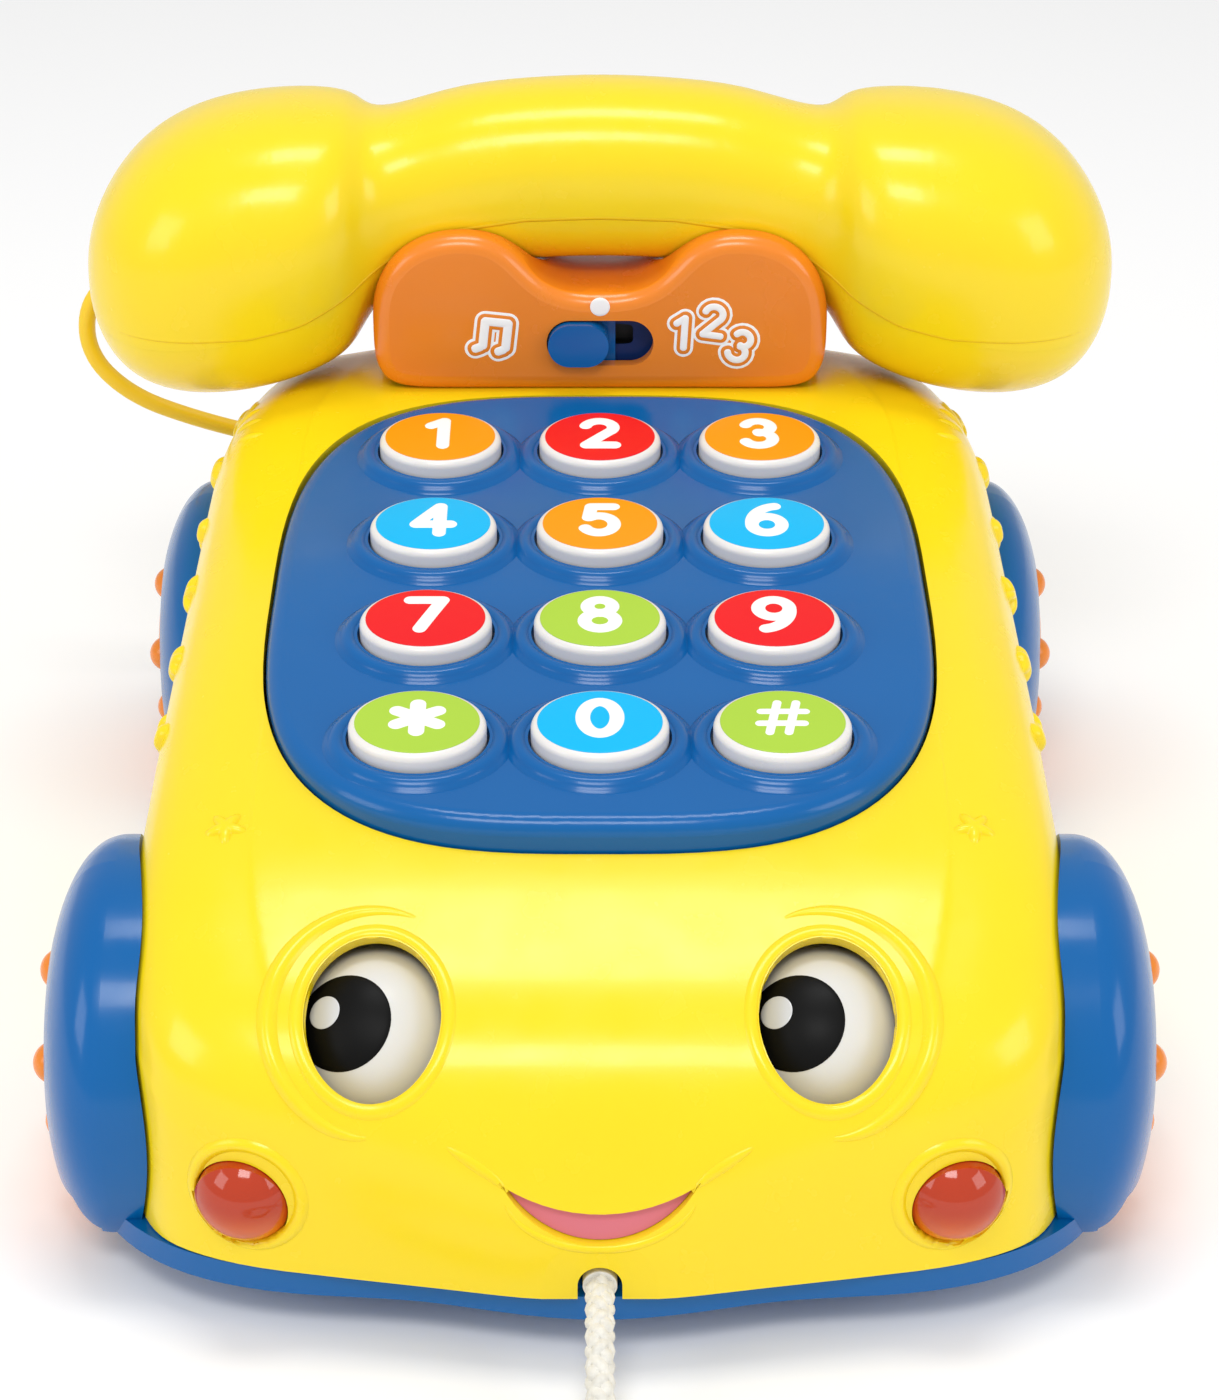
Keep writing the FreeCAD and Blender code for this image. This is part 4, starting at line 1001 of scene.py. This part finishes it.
def cap_on_ball(centre, radius, direction, cap_radius, thickness):
    """A thin round cap lying on a ball."""
    direction = np.asarray(direction, float)
    direction /= np.linalg.norm(direction)
    side = np.cross(direction, (0.0, 0.0, 1.0))
    side /= np.linalg.norm(side)
    up = np.cross(side, direction)
    reach = math.asin(cap_radius / radius)
    rings = []
    for share, rise in CAP_PROFILE:
        away = reach * share
        ball = radius + thickness * rise
        loop = []
        for t in np.linspace(0, 2 * math.pi, CAP_TURNS, endpoint=False):
            way = math.cos(away) * direction + math.sin(away) * (math.cos(t) * side + math.sin(t) * up)
            loop.append(centre + ball * way)
        rings.append(loop)
    return rings_mesh(rings)


def eyes():
    """The printed pupil and the glint on each eyeball."""
    for side in ("left", "right"):
        joint = joints["eye_" + side + "_turn"]
        axis = np.array(joint["axis"])
        centre = joint_place("eye_" + side + "_turn")
        outward = np.array((0.0, -axis[2], axis[1]))
        right = np.array((1.0, 0.0, 0.0))
        gaze = math.cos(PUPIL_GAZE) * outward + math.sin(PUPIL_GAZE) * right
        body = "eye_" + side
        pupil = cap_on_ball(centre, EYE_BALL_R, gaze, PUPIL_R, PUPIL_THICK)
        add_piece("pupil_" + side, *pupil, eye_black, body, "eye_white", angle=50)
        spark = gaze + math.tan(GLINT_AWAY) * (GLINT_SIDE * right + GLINT_UP * axis)
        glint = cap_on_ball(centre, EYE_BALL_R + PUPIL_THICK, spark, GLINT_R, GLINT_THICK)
        add_piece("glint_" + side, *glint, eye_glint, body, "eye_white", angle=50)


# ---- cradle ----

CRADLE_ROUNDING = 2.8
ROUNDING_STEPS = 6
OUTLINE_POINTS = 220
OUTLINE_SMOOTHING = 14
CORNER_SMOOTHING = 42
CORNER_HEIGHTS = (78.0, 86.0)
FORM_OVERHANG = 0.6
FORM_SLACK = 0.02
FORM_MIDDLE_Y = (62.0, 68.0, 74.0, 80.0, 85.0)
FORM_DROP = 14.0
FORM_DROP_Y = (60.0, 80.0)
FORM_DROP_HEIGHTS = (76.0, 84.0)
FOOT_START_Y = 76.0
FOOT_OVERLAP = 1.5
FOOT_SINK = 0.5
FOOT_SIDE_INSET = 0.3
FOOT_COLUMNS = 31
FOOT_ROWS = 12
SAME_PLANE = 0.01


def cradle_outline():
    """The cradle's front view, read from the flat front face of its CAD node, as one closed line."""
    mesh = frame["nodes"]["cradle_panel"].data
    front = node_box("cradle_panel")[0][1]
    flat = {v.index for v in mesh.vertices if abs(v.co.y / MM - front) < SAME_PLANE}
    uses = {}
    for polygon in mesh.polygons:
        if all(index in flat for index in polygon.vertices):
            for key in polygon.edge_keys:
                uses[key] = uses.get(key, 0) + 1
    places = {index: tuple(np.round(mesh.vertices[index].co / MM, 3)) for index in flat}
    links = {}
    for key, count in uses.items():
        if count == 1:
            for here, there in (key, key[::-1]):
                links.setdefault(places[here], []).append(places[there])
    start = min(links)
    line, before = [start], None
    while True:
        onward = [place for place in links[line[-1]] if place != before]
        before = line[-1]
        if onward[0] == start or len(line) > len(links):
            break
        line.append(onward[0])
    return np.array([(x, z) for x, _, z in line])


def shrink_outline(line, inset):
    """The outline moved inward along its own normals."""
    ahead, behind = np.roll(line, -1, axis=0), np.roll(line, 1, axis=0)
    along = ahead - behind
    along /= np.linalg.norm(along, axis=1)[:, None]
    inward = np.stack([-along[:, 1], along[:, 0]], axis=1)
    area = np.sum(line[:, 0] * ahead[:, 1] - ahead[:, 0] * line[:, 1])
    return line + inward * inset * (1 if area > 0 else -1)


def even_loop(line, count):
    """The closed line with its points evenly spaced."""
    closed = np.vstack([line, line[:1]])
    reach = np.concatenate([[0], np.cumsum(np.linalg.norm(np.diff(closed, axis=0), axis=1))])
    places = np.linspace(0, reach[-1], count, endpoint=False)
    return np.stack([np.interp(places, reach, closed[:, k]) for k in range(2)], axis=1)


def smooth_loop(line, rounds):
    """The closed line with its corners softened."""
    for _ in range(rounds):
        line = 0.25 * np.roll(line, 1, axis=0) + 0.5 * line + 0.25 * np.roll(line, -1, axis=0)
    return line


def cut_mesh(obj, operation, tool):
    """Applies one exact boolean to the object and removes the tool."""
    change = obj.modifiers.new("shape", "BOOLEAN")
    change.operation = operation
    change.solver = "EXACT"
    change.use_self = True
    change.object = tool
    bpy.context.view_layer.update()
    made = bpy.data.meshes.new_from_object(obj.evaluated_get(bpy.context.evaluated_depsgraph_get()))
    obj.modifiers.clear()
    obj.data = made
    bpy.data.objects.remove(tool)


def cradle_rear_foot(low, high):
    """A block under the cradle's rear, shaped below to the roof that falls away there."""
    roof = surface_of("top_shell")
    across = np.linspace(low[0] + FOOT_SIDE_INSET, high[0] - FOOT_SIDE_INSET, FOOT_COLUMNS)
    along = np.linspace(FOOT_START_Y, high[1], FOOT_ROWS)
    top = low[2] + FOOT_OVERLAP
    layers = []
    for level in ("roof", "top"):
        for y in along:
            for x in across:
                floor_z = land(roof, (x, y, top), (0.0, 0.0, -1.0))[0][2] - FOOT_SINK
                layers.append((x, y, floor_z if level == "roof" else top))
    wide, deep = len(across), len(along)
    faces = []
    for level in range(2):
        for row in range(deep - 1):
            for i in range(wide - 1):
                start = level * wide * deep + row * wide + i
                faces.append((start, start + 1, start + wide + 1, start + wide))
    edge = list(range(wide))
    edge += [row * wide + wide - 1 for row in range(1, deep)]
    edge += [(deep - 1) * wide + i for i in range(wide - 2, -1, -1)]
    edge += [row * wide for row in range(deep - 2, 0, -1)]
    lift = wide * deep
    for here, there in zip(edge, edge[1:] + edge[:1]):
        faces.append((here, there, there + lift, here + lift))
    return np.array(layers), faces


def rounding_form(front, back):
    """Rings along Y that the cradle is cut to: its outline, drawn in at both ends."""
    line = smooth_loop(even_loop(cradle_outline(), OUTLINE_POINTS), OUTLINE_SMOOTHING)
    softer = smooth_loop(line, CORNER_SMOOTHING)
    near_foot = (1 - smoothstep(*CORNER_HEIGHTS, line[:, 1]))[:, None]
    line = even_loop(line * (1 - near_foot) + softer * near_foot, OUTLINE_POINTS)
    angles = [0.5 * math.pi * step / ROUNDING_STEPS for step in range(ROUNDING_STEPS + 1)]
    depths = [(front - FORM_OVERHANG, CRADLE_ROUNDING)]
    depths += [(front + CRADLE_ROUNDING * (1 - math.cos(t)), CRADLE_ROUNDING * (1 - math.sin(t)))
               for t in angles]
    depths += [(y, 0.0) for y in FORM_MIDDLE_Y]
    depths += [(back - CRADLE_ROUNDING * (1 - math.sin(t)), CRADLE_ROUNDING * (1 - math.cos(t)))
               for t in angles]
    depths.append((back + FORM_OVERHANG, CRADLE_ROUNDING))
    loops = []
    for y, inset in depths:
        drop = FORM_DROP * smoothstep(*FORM_DROP_Y, y)
        shape = shrink_outline(line, inset - FORM_SLACK)
        loops.append([(x, y, z - drop * (1 - smoothstep(*FORM_DROP_HEIGHTS, z))) for x, z in shape])
    return rings_mesh(loops)


def rounded_cradle():
    """The CAD cradle with its front and rear edges rounded over and its rear brought down to the roof."""
    low, high = node_box("cradle_panel")
    form = add_piece("cradle_rounding_form", *rounding_form(low[1], high[1]), orange, None,
                     "orange_plastic")
    foot = add_piece("cradle_foot_form", *cradle_rear_foot(low, high), orange, None,
                     "orange_plastic")
    source = frame["nodes"]["cradle_panel"].data
    points = [tuple(v.co / MM) for v in source.vertices]
    cradle = add_piece("cradle_body", points, [tuple(p.vertices) for p in source.polygons], orange,
                       "base", "orange_plastic", replaces=("cradle_panel",))
    cut_mesh(cradle, "UNION", foot)
    cut_mesh(cradle, "INTERSECT", form)
    cradle.data.materials.clear()
    cradle.data.materials.append(orange)
    shade(cradle.data, 40)


LINER_HALF = (10.2, 4.5)
LINER_SLIT_HALF = (5.4, 1.75)
LINER_FRONT = 4.27
LINER_BACK = 4.5
LINER_CORNER = 0.3
LINER_TURNS = 48


def soft_rectangle(half_x, half_z):
    """A rectangle with round corners, as a closed line."""
    line = []
    for t in np.linspace(0, 2 * math.pi, LINER_TURNS, endpoint=False):
        c, s = math.cos(t), math.sin(t)
        line.append((half_x * abs(c) ** LINER_CORNER * math.copysign(1, c),
                     half_z * abs(s) ** LINER_CORNER * math.copysign(1, s)))
    return line


def switch_liner():
    """A blue plate behind the selector's slot, with a slit for the knob's stem."""
    front = node_box("cradle_panel")[0][1]
    knob_low, knob_high = node_box("switch_knob")
    middle = (knob_low[2] + knob_high[2]) / 2
    outer, inner = soft_rectangle(*LINER_HALF), soft_rectangle(*LINER_SLIT_HALF)
    near, far = front + LINER_FRONT, front + LINER_BACK
    section = ((inner, near), (outer, near), (outer, far), (inner, far), (inner, near))
    loops = [[(x, y, middle + z) for x, z in line] for line, y in section]
    add_piece("switch_liner", *rings_mesh(loops, close_ends=False), dark_blue, "base", "blue_plastic")


# ---- marks on the cradle ----

# Each digit's glyph, place, size and turn in degrees.
CRADLE_DIGITS = (
    ("1", (13.3, 86.2), 0.68, -3),
    ("2", (18.3, 88.2), 0.66, -8),
    ("3", (22.7, 83.9), 0.66, -24),
)
CRADLE_DIGIT_HALF_WIDTH = 0.62
NOTE_PLACE = (-17.3, 85.6)
NOTE_STROKES = [
    [(-1.7, -1.6), (-1.2, 2.6)], [(2.0, -2.0), (2.5, 2.2)], [(-1.2, 2.6), (2.5, 2.2)],
    [(-2.9, -2.1), (-2.1, -1.8)], [(0.8, -2.6), (1.6, -2.3)],
]
NOTE_HALF_WIDTH = 0.78
DOT_STROKE = [(-0.05, 90.6), (0.05, 90.6)]
DOT_HALF_WIDTH = 1.55
DOT_HEIGHT = 0.12
# Each layer's piece, how much wider than the mark it is, its height and its material.
MARK_LAYERS = (
    ("cradle_mark_edges", 0.95, 0.05, print_white),
    ("cradle_mark_gaps", 0.58, 0.10, orange),
    ("cradle_marks", 0.0, 0.16, print_white),
)


def cradle_marks():
    """The printed note, digits and dot: a white outline, an orange gap and a white mark."""
    origin = (0.0, node_box("cradle_panel")[0][1], 0.0)
    right, up = (1.0, 0.0, 0.0), (0.0, 0.0, 1.0)
    shapes = [(GLYPHS[glyph], place, size, turn, CRADLE_DIGIT_HALF_WIDTH)
              for glyph, place, size, turn in CRADLE_DIGITS]
    shapes.append((NOTE_STROKES, NOTE_PLACE, 1.0, 0, NOTE_HALF_WIDTH))
    for name, wider, height, mat in MARK_LAYERS:
        made = [mark(strokes, thick + wider, height, size=size, turn=math.radians(turn), shift=place)
                for strokes, place, size, turn, thick in shapes]
        if name == "cradle_marks":
            made.append(mark([DOT_STROKE], DOT_HALF_WIDTH, DOT_HEIGHT))
        add_piece(name, *on_plane(join(made), origin, right, up), mat, "base", "orange_plastic", angle=60)


handset_cord()
pull_cord()
finish_cad_nodes()
shell_relief()
smile_creases()
keys()
eyes()
handset_seam()
rounded_cradle()
switch_liner()
cradle_marks()
